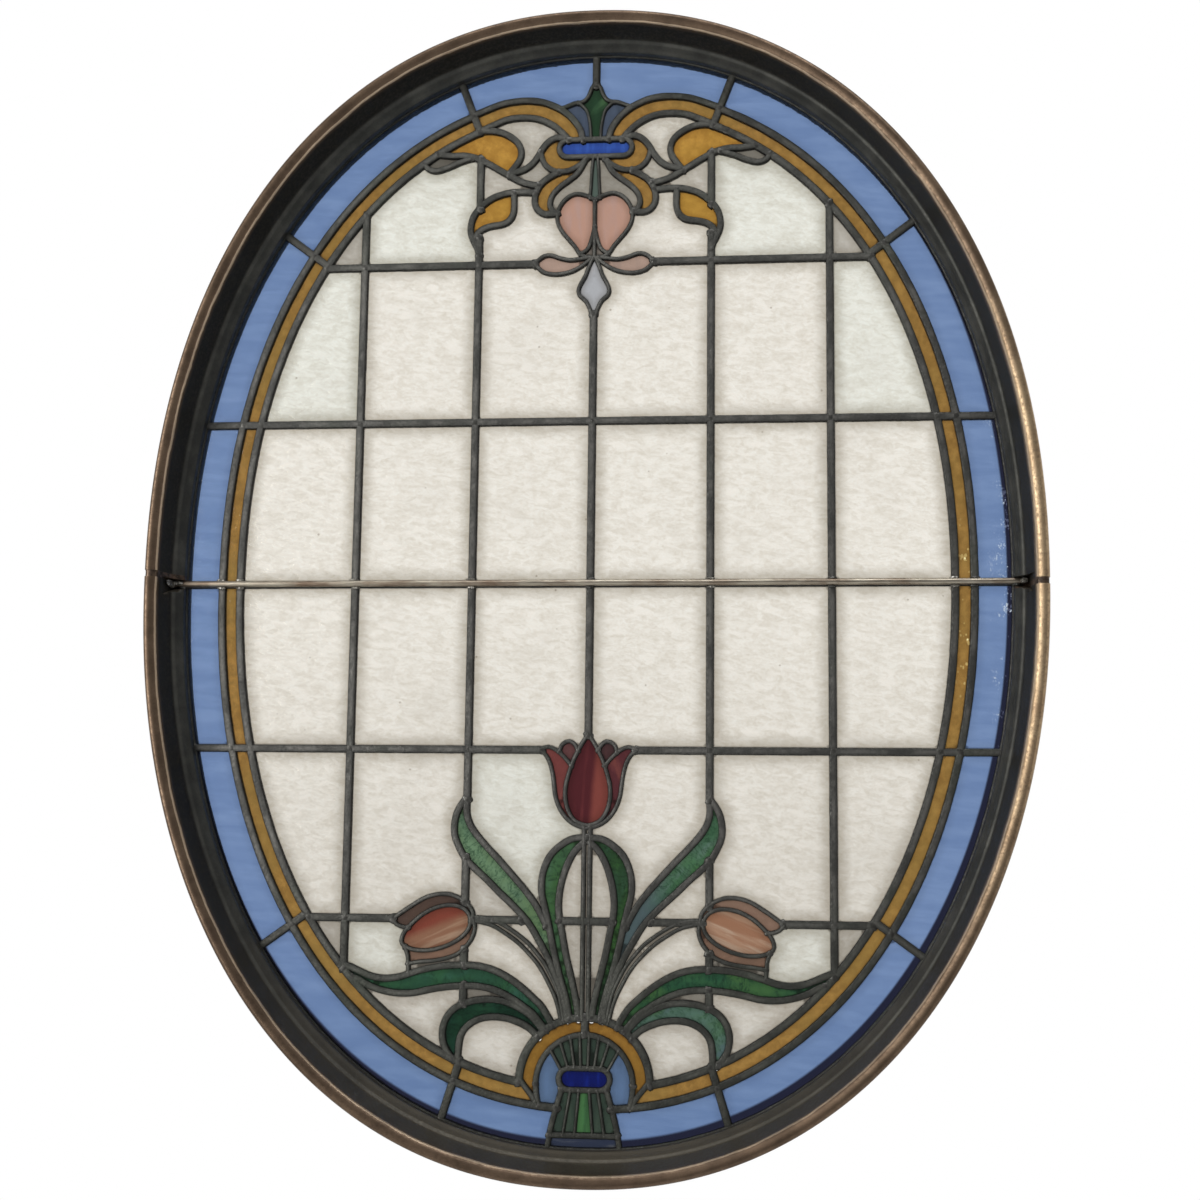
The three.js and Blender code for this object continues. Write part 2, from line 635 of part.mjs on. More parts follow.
const lines = cameLines();
const seeds = paneSeeds();
const ring = frameRing().subtract(barSlot());
const reachZ = OUTER_HEIGHT;
place('frame_upper', ring.intersect(block(BAR_Z + CLEARANCE / 2, reachZ)), BRONZE);
place('frame_lower', ring.intersect(block(-reachZ, BAR_Z - CLEARANCE / 2)), BRONZE);
place('saddle_bar', barSolid(BAR_DIAMETER / 2, OUTER_WIDTH / 2 - BAR_INSET), STEEL);
place('lead_lattice', leadedPanel(lines, seeds), LEAD);
for (const pane of panes(lines, seeds)) place(pane.name, pane.solid, pane.look);

const leadedWindow = new THREE.Group();
leadedWindow.name = 'oval_leaded_window';
leadedWindow.add(panel);

export default leadedWindow;
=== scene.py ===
# Oval leaded window: moulded frame, saddle bar, soldered lead cames and the panes of glass between them.
# The panel is set out in millimetres: x across, z up from the oval's middle, h out of the glass to the front.
import math

import bmesh
import bpy
import numpy as np
from mathutils import Matrix, Vector, geometry, kdtree, noise

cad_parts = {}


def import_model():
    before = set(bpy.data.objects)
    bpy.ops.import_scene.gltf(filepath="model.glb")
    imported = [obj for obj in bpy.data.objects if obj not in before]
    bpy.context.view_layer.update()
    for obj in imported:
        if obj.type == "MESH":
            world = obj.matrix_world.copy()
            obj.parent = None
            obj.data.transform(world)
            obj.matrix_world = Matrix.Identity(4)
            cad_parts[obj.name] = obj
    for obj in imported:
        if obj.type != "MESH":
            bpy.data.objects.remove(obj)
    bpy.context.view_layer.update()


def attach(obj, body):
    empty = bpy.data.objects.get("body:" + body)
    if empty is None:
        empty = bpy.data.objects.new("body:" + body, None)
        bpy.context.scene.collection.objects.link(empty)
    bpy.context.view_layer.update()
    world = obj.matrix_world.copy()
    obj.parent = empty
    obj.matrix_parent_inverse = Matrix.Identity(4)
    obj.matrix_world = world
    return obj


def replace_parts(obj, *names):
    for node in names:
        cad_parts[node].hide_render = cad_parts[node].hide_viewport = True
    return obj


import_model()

# Sizes of the solids, mm
HALF_X = 348.0
HALF_Z = 455.0
OVAL_POWER = 2.154
CENTRE_Z = 443.75
GLASS_BACK = 10.0
GLASS = 3.0
CAME = 6.0
LEAF = 5.2
BAND = 4.4
FINE = 3.2
HAIR = 2.4
STEM = 3.7
STEM_GAP = 2.35
FACE = 22.5
BORDER = 29.0
FIELD = 43.6
COLUMN = 94.0
ROW = 130.5
DROP = 3.0
BAR_RADIUS = 2.5
BAR_END = 337.0
BAR_HEIGHT = 5.8

# The two joints of the frame aren't level, and the bar lies in a slot across them
JOINT_HALF = 2.4
LEFT_JOINT = 1.0
RIGHT_JOINT = -7.0
SLOT_FLOOR = 2.9
SLOT_TOP = 2.7
SLOT_FOOT = -2.9
SLOT_EDGES = (2.78, 2.7, -2.9, -5.0, -8.0, -10.5)

# How the cames and panes are drawn
STEP = 2.6
UNDER = 0.6
FINE_PITCH = 2.4
FINE_REACH = 3.6
SMALLEST_PANE = 6.0
# Largest distance from the cames kept for the dirt and painted shade on the glass, mm
GRIME_AND_SHADE_REACH = 18.0


def place(x, z, h):
    return (x / 1000, -(GLASS_BACK + h) / 1000, (z + CENTRE_Z) / 1000)


def soft(x, y, seed=0.0):
    return noise.noise(Vector((x, y, seed)))


# The oval, at an inset from the frame's outer edge


def oval_at(inset, degrees):
    angle = math.radians(degrees)
    c, s = math.cos(angle), math.sin(angle)
    a, b = HALF_X - inset, HALF_Z - inset
    radius = (abs(c / a) ** OVAL_POWER + abs(s / b) ** OVAL_POWER) ** (-1 / OVAL_POWER)
    return radius * c, radius * s


def half_width(inset, z):
    rest = 1 - abs(z / (HALF_Z - inset)) ** OVAL_POWER
    return (HALF_X - inset) * max(rest, 0) ** (1 / OVAL_POWER)


def half_height(inset, x):
    rest = 1 - abs(x / (HALF_X - inset)) ** OVAL_POWER
    return (HALF_Z - inset) * max(rest, 0) ** (1 / OVAL_POWER)


def oval_arc(inset, start, end, step=STEP):
    length = abs(math.radians(end - start)) * (HALF_X + HALF_Z - 2 * inset) / 2
    count = max(2, round(length / step))
    return [oval_at(inset, start + (end - start) * i / count) for i in range(count + 1)]


# Centre lines of the cames


def spline(points, closed=False):
    """Smooth line through the points, resampled at even steps."""
    pts = [np.array(p, float) for p in points]
    if closed:
        pts.append(pts[0])
    out = []
    last = len(pts) - 1
    for i in range(last):
        before = pts[i - 1] if i > 0 else (pts[last - 1] if closed else pts[0])
        after = pts[i + 2] if i + 2 <= last else (pts[1] if closed else pts[last])
        v0 = (pts[i + 1] - before) / 2
        v1 = (after - pts[i]) / 2
        for t in np.linspace(0, 1, 24, endpoint=False):
            out.append((2 * pts[i] - 2 * pts[i + 1] + v0 + v1) * t ** 3
                       + (-3 * pts[i] + 3 * pts[i + 1] - 2 * v0 - v1) * t ** 2 + v0 * t + pts[i])
    out.append(pts[last])
    return resampled(out)


def resampled(points, step=STEP):
    pts = np.array(points, float)
    gaps = np.hypot(*np.diff(pts, axis=0).T)
    way = np.concatenate([[0], np.cumsum(gaps)])
    count = max(1, round(way[-1] / step))
    stops = np.linspace(0, way[-1], count + 1)
    return np.stack([np.interp(stops, way, pts[:, 0]), np.interp(stops, way, pts[:, 1])], 1)


CAMES = []


def came(width, points, both=True, closed=False, straight=False):
    """Lays a came along the points, with its mirror image where there are both."""
    line = resampled(points) if straight else spline(points, closed)
    for way in ((1, -1) if both else (1,)):
        CAMES.append({"width": width, "points": line * np.array([way, 1]), "closed": closed})


def row_z(row):
    return row * ROW - DROP


CROWN_JOINT = (75.6, 74.9)
SHOULDER_JOINT = (49.9, 48.3)
HIP_JOINT = (-50.1, -48.3)
FOOT_JOINT = (-75.5, -75.2)
EDGE = FACE - 5 + 1


def border_cames():
    for inner, outer in (CROWN_JOINT, SHOULDER_JOINT, HIP_JOINT, FOOT_JOINT):
        came(CAME, [oval_at(FACE + FIELD, inner), oval_at(EDGE, outer)], straight=True)
    came(CAME, oval_arc(FACE + BORDER, CROWN_JOINT[0], -87.0), straight=True)
    came(CAME, oval_arc(FACE + FIELD, CROWN_JOINT[0], -82.6), straight=True)
    came(CAME, [(0, 408), (0, HALF_Z - EDGE)], both=False, straight=True)
    came(CAME, oval_arc(EDGE + 2.2, 0, 360), both=False, straight=True)


def grid_cames():
    for row in (1, 0):
        reach = half_width(EDGE, row_z(row))
        came(CAME, [(-reach, row_z(row)), (reach, row_z(row))], both=False, straight=True)
    came(CAME, [(48, row_z(2)), (half_width(FACE + FIELD, row_z(2)), row_z(2))], straight=True)
    came(CAME, [(37, row_z(-1)), (half_width(EDGE, row_z(-1)), row_z(-1))], straight=True)
    came(CAME, [(150, row_z(-2)), (half_width(FACE + FIELD, row_z(-2)), row_z(-2))], straight=True)
    came(CAME, [(50, row_z(-2)), (88, row_z(-2))], straight=True)
    came(CAME, [(-20, row_z(-2)), (20, row_z(-2))], both=False, straight=True)
    reach = half_height(FACE + FIELD, 2 * COLUMN)
    came(CAME, [(2 * COLUMN, -reach), (2 * COLUMN, reach)], straight=True)
    for low, high in ((305, 348), (-172, 281), (-251, -217), (-298.5, -287), (-327, -314)):
        came(CAME, [(COLUMN, low), (COLUMN, high)], straight=True)
    came(CAME, [(0, 215), (0, -122)], both=False, straight=True)


def crown_cames():
    came(LEAF, [
        (100.5, 386), (80, 394), (69, 396.3), (58, 397), (49, 396.3), (40, 394), (28, 388), (19, 380),
        (13, 371), (10.5, 362)])
    came(LEAF, [
        (96, 371.5), (84, 377), (72, 381.5), (58, 382.5), (46, 380.5), (35, 375), (27, 368), (22, 362)])
    came(LEAF, [
        (108, 365), (99, 370), (90, 372), (80, 371), (71, 367), (64, 361), (61, 354), (61.5, 348),
        (64.5, 342.5), (71, 334)])
    came(LEAF, [
        (130, 353), (118, 351.5), (108, 351.3), (98, 349), (89, 344.5), (79, 338.5), (70, 333), (60, 327.5),
        (50, 324.5), (46, 324.5)])
    came(BAND, [(101, 349), (112, 345.5), (122, 341.3), (131, 339), (138, 341), (141, 345.5)])
    came(LEAF, [
        (70, 335), (59, 337.7), (52, 342.5), (47, 349), (43, 356), (38, 361.5), (32, 364.3), (25, 363.5)])
    came(BAND, [
        (45, 352.5), (43, 345), (39.5, 340), (34, 336.3), (27, 335.3), (19, 337), (11, 342), (7, 346.5)])
    came(LEAF, [
        (30, 334.8), (38, 330.5), (44.5, 325), (48.5, 317), (49, 309), (46, 303), (40, 299.7), (31, 300.3)])
    came(BAND, [
        (7, 347), (13.5, 335), (20, 329), (27.5, 323.5), (33.5, 317.5), (36.3, 311.5), (36.3, 305.5),
        (32, 299.5)])
    came(FINE, [
        (0, 310.5), (7, 314.5), (15, 316.2), (22, 313.5), (27.5, 307.5), (30.3, 300), (30, 292.5),
        (26.5, 285), (20.5, 277.5), (15.5, 271.5), (12, 266), (6, 262.5), (0, 262)])
    came(FINE, [(0, 288), (2.5, 277), (5.5, 269.5), (11, 265.5)])
    came(FINE, [
        (2, 262.8), (12, 261.3), (20, 260.7), (28, 262.5), (35, 265), (41, 264.3), (46, 260.5),
        (48.5, 258)])
    came(FINE, [
        (2, 262), (10, 255.5), (18, 251.2), (27, 249.2), (35, 249.3), (42, 251.7), (48.5, 258)])
    came(FINE, [
        (0.5, 263), (4.5, 254), (7, 247), (10.7, 240.3), (12.5, 235), (11.3, 230.7), (6.7, 226.5),
        (3.5, 220.5), (0.8, 212)])
    came(HAIR, [(4, 312), (3.3, 325), (2.6, 338), (1.6, 348)])
    came(FINE, [
        (0, 409.5), (3.4, 406.5), (5.6, 400.5), (8.6, 396), (12.5, 394), (18, 393.3), (25, 390.5),
        (30, 389)])
    came(HAIR, [(15.5, 394.3), (11.2, 391), (7.5, 386.5), (5.6, 380), (4.4, 372), (3.8, 362)])
    came(LEAF, [
        (48.5, 318), (58, 318.8), (68, 318.8), (76, 317.3), (84, 314.3), (91, 309.3), (96, 304),
        (99.5, 298.5), (101.3, 291), (101, 284.5), (98.5, 278), (95.5, 272), (94, 266)])
    came(LEAF, [
        (66.3, 318.5), (66, 310), (66.2, 303), (68, 297.5), (72, 293.5), (77, 291.8), (84.5, 290.7),
        (90.5, 288.8), (95, 285.5), (98, 280)])
    came(FINE, [(0, 311), (0, 262)], both=False, straight=True)
    came(BAND, band_loop(354.8, 29.8, 7.3), both=False, straight=True, closed=True)


def band_loop(centre, half_x, half_z):
    points = []
    for side in (1, -1):
        for turn in range(-90, 91, 10):
            angle = math.radians(turn)
            x = side * (half_x - half_z + half_z * math.cos(angle))
            points.append((x, centre + side * half_z * math.sin(angle)))
    points.append(points[0])
    return points


def tulip_cames():
    came(FINE, [
        (0, -121), (4, -127), (8.2, -134.5), (12, -143), (15.3, -153), (17.3, -162), (17.3, -171),
        (15, -180), (10.5, -187), (4.5, -190.3), (0, -191.2)])
    came(FINE, [
        (38.5, -133.3), (33.3, -137), (29.7, -143.5), (27.5, -151.5), (26.2, -160), (25, -169),
        (22, -177.5), (17, -185), (10.5, -190.3), (3, -193), (0, -193.3)])
    came(FINE, [(38.5, -133.3), (31, -131), (24.5, -133.8), (18.5, -139), (13, -145.5)])
    came(FINE, [(22.5, -135), (20.5, -129.5), (15.5, -126.5), (11, -128.5), (7.8, -133.7)])
    came(STEM, [(STEM_GAP, -192), (STEM_GAP, -338)], straight=True)
    came(LEAF, [
        (0, -200.5), (11, -201.5), (20, -206.5), (27.5, -213.5), (32, -222), (34.5, -232), (34.5, -243),
        (32, -254), (29, -266), (26.5, -278), (23.5, -291), (19.5, -306), (15, -321), (11.5, -338)])
    came(LEAF, [
        (1, -203), (8.5, -210), (14, -219), (18, -230), (20.5, -241), (21.4, -252), (20.5, -262),
        (18.5, -272), (15, -290), (10, -310), (6.5, -326), (5, -338)])
    came(LEAF, [
        (94.5, -170.5), (100.5, -179.5), (103.3, -189), (103.3, -199), (100, -208), (94.5, -217.5),
        (87.5, -224.5), (77.5, -233.3), (67.5, -243), (57.5, -252), (48.5, -261), (42.5, -268.5),
        (37, -277.5), (31, -288), (25.5, -299), (21, -310), (16, -325), (13.5, -339)])
    came(LEAF, [
        (94, -172), (94, -183), (91, -192), (85, -200.5), (77, -209.3), (68, -218.5), (58, -229.3),
        (48, -240.5), (40.5, -250), (35, -259), (30.5, -268)])


def spray_cames():
    came(FINE, [
        (143, -281), (141, -274.5), (134.5, -267), (126.5, -260.3), (116.5, -255.3), (106.5, -253.3),
        (97.5, -254.5), (91, -259.5), (89.5, -267.5), (93.7, -275), (101.5, -281), (111.5, -285.5),
        (123, -287.8), (134, -287.3), (141, -284.3)], closed=True)
    came(FINE, [
        (150.5, -264.5), (144, -259.7), (135.5, -254), (126, -248.3), (116.5, -245.3), (106.5, -245),
        (98, -248), (92, -252.3), (88, -257.5), (87.2, -263.5)])
    came(FINE, [(150.5, -264.5), (147, -268.5), (141.5, -270.5), (137, -271)])
    came(FINE, [
        (87.2, -263.5), (85.9, -270.5), (88, -278), (92.5, -284.5), (98.5, -289.8), (107, -293.3),
        (117.5, -295.5), (128.5, -296.5), (137.2, -298)])
    came(FINE, [(140, -285.5), (137.7, -292), (137.3, -298), (136.7, -305)])
    came(3.0, [
        (86, -262), (75, -263), (65, -267), (55, -273), (45, -280.5), (38, -288), (31, -297), (25, -308),
        (20, -320), (16, -340)])
    came(3.0, [
        (86, -265), (73, -268), (62, -274), (52, -281), (43, -289.5), (35, -299), (28, -311), (22, -324),
        (17.5, -341)])
    came(LEAF, [
        (189, -299.5), (182, -301.5), (174, -305), (165, -308.3), (155, -309.5), (145, -308.3),
        (136, -305.5), (124, -302), (111, -299.5), (99, -298.5), (87, -298.5), (75.5, -300.3), (65.5, -304),
        (56, -309.3), (47.5, -315.5), (39.5, -322.3), (32.5, -329.3), (24, -343)])
    came(LEAF, [
        (181, -309), (176, -310.5), (168, -314.9), (158, -318.3), (146, -320.3), (133, -320), (120, -317.2),
        (107, -315), (95, -314), (84, -314), (73, -315.7), (63, -319.3), (54, -324), (46.5, -329),
        (39.5, -334.3), (29.5, -346)])
    came(LEAF, [
        (99, -371), (106.5, -361.5), (109.2, -353), (109, -345), (106, -337.3), (100.7, -331.3),
        (93.7, -327.3), (85, -324.8), (75, -323.7), (65, -324.4), (55.5, -327.2), (47, -331.5),
        (40, -336.5), (30.5, -347)])
    came(LEAF, [
        (97, -371), (96.5, -359), (95, -351), (91, -344.8), (84.8, -340.2), (77, -337.4), (67.5, -336.7),
        (58, -338), (49, -341), (41, -345.5), (35, -352)])


def sheaf_cames():
    def arch(width, centre, half_x, half_z):
        turns = [math.pi * i / 48 for i in range(49)]
        points = [(half_x * math.cos(t), centre + half_z * math.sin(t)) for t in turns]
        came(width, points, both=False, straight=True)

    arch(CAME, -383, 49.5, 47.3)
    arch(BAND, -386, 37, 37.5)
    came(CAME, [(0, -336), (0, -348)], both=False, straight=True)
    came(BAND, [(37, -385), (36.2, -394), (34.5, -402)])
    came(BAND, [(49.5, -382), (44, -389), (38.5, -396), (36, -402)])
    for foot, top in (((17.2, -375.5), (27, -358.5)), ((12.5, -373), (19, -353)),
                      ((7.5, -373), (11, -350)), ((2.7, -373), (3.6, -348.5))):
        came(HAIR, [foot, top], straight=True)
    came(BAND, [(17, -389), (21, -402.5), (25, -418), (28, -436)])
    came(HAIR, [(10.3, -389.5), (15.8, -422.5)], straight=True)
    came(HAIR, [(3.9, -389.5), (6.8, -422.5)], straight=True)
    came(BAND, [(-26, -422.5), (26, -422.5)], both=False, straight=True)
    came(BAND, band_loop(-381.3, 19.5, 8), both=False, straight=True, closed=True)


GROUPS = {"border": border_cames, "grid": grid_cames, "crown": crown_cames, "tulip": tulip_cames,
          "spray": spray_cames, "sheaf": sheaf_cames}
for group, draw_cames in GROUPS.items():
    laid = len(CAMES)
    draw_cames()
    for line in CAMES[laid:]:
        line["group"] = group


# Objects


def labelled(*labels):
    """An empty form whose points carry the named values."""
    form = bmesh.new()
    for label in labels:
        form.verts.layers.float.new(label)
    return form


def joined(whole, part):
    """Adds a finished part to a larger form."""
    mesh = bpy.data.meshes.new("part")
    part.to_mesh(mesh)
    part.free()
    whole.from_mesh(mesh)
    bpy.data.meshes.remove(mesh)


def drawn_bar(section, steps, closed, *labels):
    """A straight bar with the given section, drawn out along y by one unit a step."""
    form = labelled(*labels)
    ring = bmesh.ops.create_circle(form, segments=len(section), radius=1.0, cap_ends=not closed)["verts"]
    for vertex, (u, h) in zip(ring, section):
        vertex.co = (u, 0, h)
    start = form.verts[:] + form.edges[:] + form.faces[:]
    bmesh.ops.spin(form, geom=start, cent=(0, 0, 0), dvec=(0, 1, 0), axis=(0, 0, 1), angle=0, steps=steps)
    return form


def piece(name, form, material, sharp=40.0):
    """Turns a finished form into one of the window's objects."""
    bmesh.ops.recalc_face_normals(form, faces=form.faces[:])
    mesh = bpy.data.meshes.new(name)
    form.to_mesh(mesh)
    form.free()
    mesh.polygons.foreach_set("use_smooth", [True] * len(mesh.polygons))
    mesh.set_sharp_from_angle(angle=math.radians(sharp))
    mesh.materials.append(material)
    obj = bpy.data.objects.new(name, mesh)
    bpy.context.scene.collection.objects.link(obj)
    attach(obj, "root")
    return obj


# Materials


def link(tree, source, target):
    tree.links.new(source, target)


def feed(tree, socket, value):
    """Sets a socket to a number or a colour, or links it to another socket."""
    if isinstance(value, (int, float)):
        socket.default_value = value
    elif isinstance(value, tuple):
        socket.default_value = (*value, 1.0) if len(socket.default_value) == 4 else value
    else:
        link(tree, value, socket)


def wired(name, values):
    """A new material, with plain values set on its shader."""
    material = bpy.data.materials.new(name)
    material.use_nodes = True
    tree = material.node_tree
    for label, value in values.items():
        feed(tree, tree.nodes["Principled BSDF"].inputs[label], value)
    return material, tree


def finished(material, colour, normal, rough=None):
    """Links what changes over the surface to the material's shader."""
    tree = material.node_tree
    for label, source in (("Base Color", colour), ("Normal", normal), ("Roughness", rough)):
        if source is not None:
            link(tree, source, tree.nodes["Principled BSDF"].inputs[label])
    return material


def node(tree, kind, inputs=None, **settings):
    made = tree.nodes.new(kind)
    for key, value in settings.items():
        setattr(made, key, value)
    for key, value in (inputs or {}).items():
        feed(tree, made.inputs[key], value)
    return made


def combined(tree, x, y, z):
    return node(tree, "ShaderNodeCombineXYZ", {"X": x, "Y": y, "Z": z}).outputs["Vector"]


def coords(tree, stretch=(1, 1, 1), turn=0.0):
    """Object coordinates, with patterns drawn out along axes that are turned from z towards x."""
    where = node(tree, "ShaderNodeTexCoord")
    rotation = (0, math.radians(turn), 0) if isinstance(turn, (int, float)) else turn
    inputs = {"Vector": where.outputs["Object"], "Scale": stretch, "Rotation": rotation}
    return node(tree, "ShaderNodeMapping", inputs, vector_type="TEXTURE").outputs["Vector"]


def calc(tree, operation, *values):
    made = node(tree, "ShaderNodeMath", dict(enumerate(values)), operation=operation)
    return made.outputs[0]


def noise_map(tree, vector, scale, detail=3.0, rough=0.5, distortion=0.0):
    inputs = {"Vector": vector, "Scale": scale, "Detail": detail, "Roughness": rough,
              "Distortion": distortion}
    return node(tree, "ShaderNodeTexNoise", inputs).outputs["Fac"]


def spread(tree, value, low, high, to_low=0.0, to_high=1.0):
    inputs = {"Value": value, "From Min": low, "From Max": high, "To Min": to_low, "To Max": to_high}
    return node(tree, "ShaderNodeMapRange", inputs, interpolation_type="SMOOTHSTEP").outputs["Result"]


def mixed(tree, factor, first, second, mode="MIX"):
    made = node(tree, "ShaderNodeMix", data_type="RGBA", blend_type=mode)
    for index, value in ((0, factor), (6, first), (7, second)):
        feed(tree, made.inputs[index], value)
    return made.outputs[2]


def attribute(tree, label):
    return node(tree, "ShaderNodeAttribute", attribute_name=label).outputs["Fac"]


# Effects that several materials share, each a node group

NUMBER = "NodeSocketFloat"
VECTOR = "NodeSocketVector"
COLOUR = "NodeSocketColor"


def effect(name, inputs, outputs, draw):
    """A node group: draw wires it, from the group's inputs to a value for each of its outputs."""
    tree = bpy.data.node_groups.new(name, "ShaderNodeTree")
    for label, (kind, value) in inputs.items():
        socket = tree.interface.new_socket(label, in_out="INPUT", socket_type=kind)
        socket.default_value = (*value, 1.0) if kind == COLOUR else value
    for label, kind in outputs.items():
        tree.interface.new_socket(label, in_out="OUTPUT", socket_type=kind)
    given = tree.nodes.new("NodeGroupInput").outputs
    result = tree.nodes.new("NodeGroupOutput").inputs
    for label, value in draw(tree, given).items():
        link(tree, value, result[label])
    return tree


def applied(tree, group, **values):
    """Places an effect in a material with its own values, and gives its outputs."""
    made = node(tree, "ShaderNodeGroup", node_tree=group)
    for label, value in values.items():
        feed(tree, made.inputs[label], value)
    return made.outputs


def bumped(tree, height, given):
    inputs = {"Height": height, "Strength": given["Strength"], "Distance": given["Distance"]}
    return node(tree, "ShaderNodeBump", inputs).outputs["Normal"]


def draw_panel_place(tree, given):
    where = node(tree, "ShaderNodeTexCoord")
    parts = node(tree, "ShaderNodeSeparateXYZ", {"Vector": where.outputs["Object"]})
    return {"Across": calc(tree, "MULTIPLY", parts.outputs["X"], 1000.0),
            "Up": calc(tree, "MULTIPLY_ADD", parts.outputs["Z"], 1000.0, -CENTRE_Z)}


def draw_came_dirt_and_shade(tree, given):
    """Darkens glass towards the cames: cement and grime, and painted shade that the cames throw on the glass.
    """
    dirt = noise_map(tree, coords(tree), 60, 4, 0.6)
    edge = attribute(tree, "edge")
    gap = calc(tree, "MULTIPLY_ADD", dirt, -0.45, calc(tree, "DIVIDE", edge, given["Reach"]))
    share = spread(tree, gap, -0.35, 0.75, given["Depth"], 0.0)
    colour = mixed(tree, share, given["Colour"], given["Dirt"], "MULTIPLY")
    # A dark line at the very edge of the glass: cement, and painted shade from the came's side
    rim = spread(tree, edge, 0.0, 1.3, 0.75, 0.0)
    return {"Colour": mixed(tree, rim, colour, (0.1, 0.09, 0.08), "MULTIPLY")}


def draw_ripples(tree, given):
    """The uneven face of rolled glass."""
    where = coords(tree, given["Stretch"], 8)
    ripples = noise_map(tree, where, given["Scale"], 3, 0.52, given["Warp"])
    return {"Ripples": ripples, "Normal": bumped(tree, ripples, given)}


def draw_streaks(tree, given):
    """Streaks drawn out along a direction, softer clouds, and thin cracks of another colour."""
    turn = combined(tree, 0.0, given["Turn"], 0.0)
    drawn = coords(tree, combined(tree, 1.0, 1.0, given["Drawn"]), turn)
    wave = noise_map(tree, drawn, given["Fine"], 4, 0.55, 0.5)
    low = calc(tree, "MULTIPLY_ADD", given["Share"], -0.3, 0.64)
    high = calc(tree, "MULTIPLY_ADD", given["Share"], -0.2, 0.74)
    colour = mixed(tree, spread(tree, wave, low, high), given["Tint"], given["Streak"])
    patches = noise_map(tree, coords(tree, (1, 1, 1.6), turn), 55, 4, 0.6)
    cloud = calc(tree, "MULTIPLY", spread(tree, patches, 0.42, 0.66), given["Cloudy"])
    colour = mixed(tree, cloud, colour, given["Cloud"])
    line = noise_map(tree, coords(tree, (1, 1, 0.45), turn), 60, 3, 0.7, 0.4)
    away = calc(tree, "ABSOLUTE", calc(tree, "SUBTRACT", line, 0.47))
    crack = calc(tree, "MULTIPLY", spread(tree, away, 0.006, 0.026, 0.9, 0.0), given["Cracked"])
    return {"Colour": mixed(tree, crack, colour, given["Crack"]), "Patches": patches}


def draw_painted_glints(tree, given):
    """Painted glints: small bright specks of painted highlight on one stretch of the right side of the panel.
    """
    panel = applied(tree, PANEL_PLACE)
    where = coords(tree, (1, 1, 1.5))
    cells = node(tree, "ShaderNodeTexVoronoi", {"Vector": where, "Scale": given["Scale"]})
    size = noise_map(tree, coords(tree), 70, 3, 0.6)
    radius = spread(tree, size, calc(tree, "SUBTRACT", 0.62, given["Share"]), 0.75, 0.0, 0.5)
    glint = calc(tree, "LESS_THAN", cells.outputs["Distance"], radius)
    left, low, high = given["Left"], given["Low"], given["High"]
    reach = calc(tree, "MULTIPLY", spread(tree, panel["Across"], left, calc(tree, "ADD", left, 14.0)),
                 spread(tree, panel["Up"], low, calc(tree, "ADD", low, 40.0)))
    fade = spread(tree, panel["Up"], calc(tree, "SUBTRACT", high, 60.0), high, 1.0, 0.0)
    return {"Mask": calc(tree, "MULTIPLY", glint, calc(tree, "MULTIPLY", reach, fade))}


def draw_patina(tree, given):
    """Patches, fine grain and the surface that goes with them on old metal."""
    patches = noise_map(tree, coords(tree, given["PatchStretch"]), given["Patch"], 5, 0.62)
    grain = noise_map(tree, coords(tree, given["GrainStretch"]), given["Grain"], 4, 0.62)
    height = calc(tree, "MULTIPLY_ADD", patches, given["Dents"], grain)
    return {"Patches": patches, "Fine": grain, "Normal": bumped(tree, height, given)}


EVEN = (1.0, 1.0, 1.0)
GREY = (0.5, 0.5, 0.5)
PANEL_PLACE = effect("panel place", {}, {"Across": NUMBER, "Up": NUMBER}, draw_panel_place)
CAME_DIRT_AND_SHADE = effect("dirt and painted shade along the cames",
                   {"Colour": (COLOUR, GREY), "Dirt": (COLOUR, GREY), "Reach": (NUMBER, 7.0),
                    "Depth": (NUMBER, 0.5)},
                   {"Colour": COLOUR}, draw_came_dirt_and_shade)
RIPPLES = effect("rolled glass ripples",
                 {"Stretch": (VECTOR, EVEN), "Scale": (NUMBER, 190.0), "Warp": (NUMBER, 0.4),
                  "Strength": (NUMBER, 0.3), "Distance": (NUMBER, 0.0005)},
                 {"Ripples": NUMBER, "Normal": VECTOR}, draw_ripples)
STREAKS = effect("streaks in the glass",
                 {"Tint": (COLOUR, GREY), "Streak": (COLOUR, GREY), "Cloud": (COLOUR, GREY),
                  "Crack": (COLOUR, GREY), "Cloudy": (NUMBER, 0.0), "Cracked": (NUMBER, 0.0),
                  "Turn": (NUMBER, 0.0), "Share": (NUMBER, 0.5), "Fine": (NUMBER, 130.0),
                  "Drawn": (NUMBER, 6.0)},
                 {"Colour": COLOUR, "Patches": NUMBER}, draw_streaks)
GLINTS = effect("painted glints",
                {"Low": (NUMBER, 0.0), "High": (NUMBER, 0.0), "Left": (NUMBER, 0.0), "Scale": (NUMBER, 400.0),
                 "Share": (NUMBER, 0.1)},
                {"Mask": NUMBER}, draw_painted_glints)
PATINA = effect("patina of old metal",
                {"Patch": (NUMBER, 45.0), "Grain": (NUMBER, 500.0), "PatchStretch": (VECTOR, EVEN),
                 "GrainStretch": (VECTOR, EVEN), "Dents": (NUMBER, 0.0), "Strength": (NUMBER, 0.5),
                 "Distance": (NUMBER, 0.0005)},
                {"Patches": NUMBER, "Fine": NUMBER, "Normal": VECTOR}, draw_patina)


ROLLED = {"Transmission Weight": 1.0, "Roughness": 0.1, "IOR": 1.5}


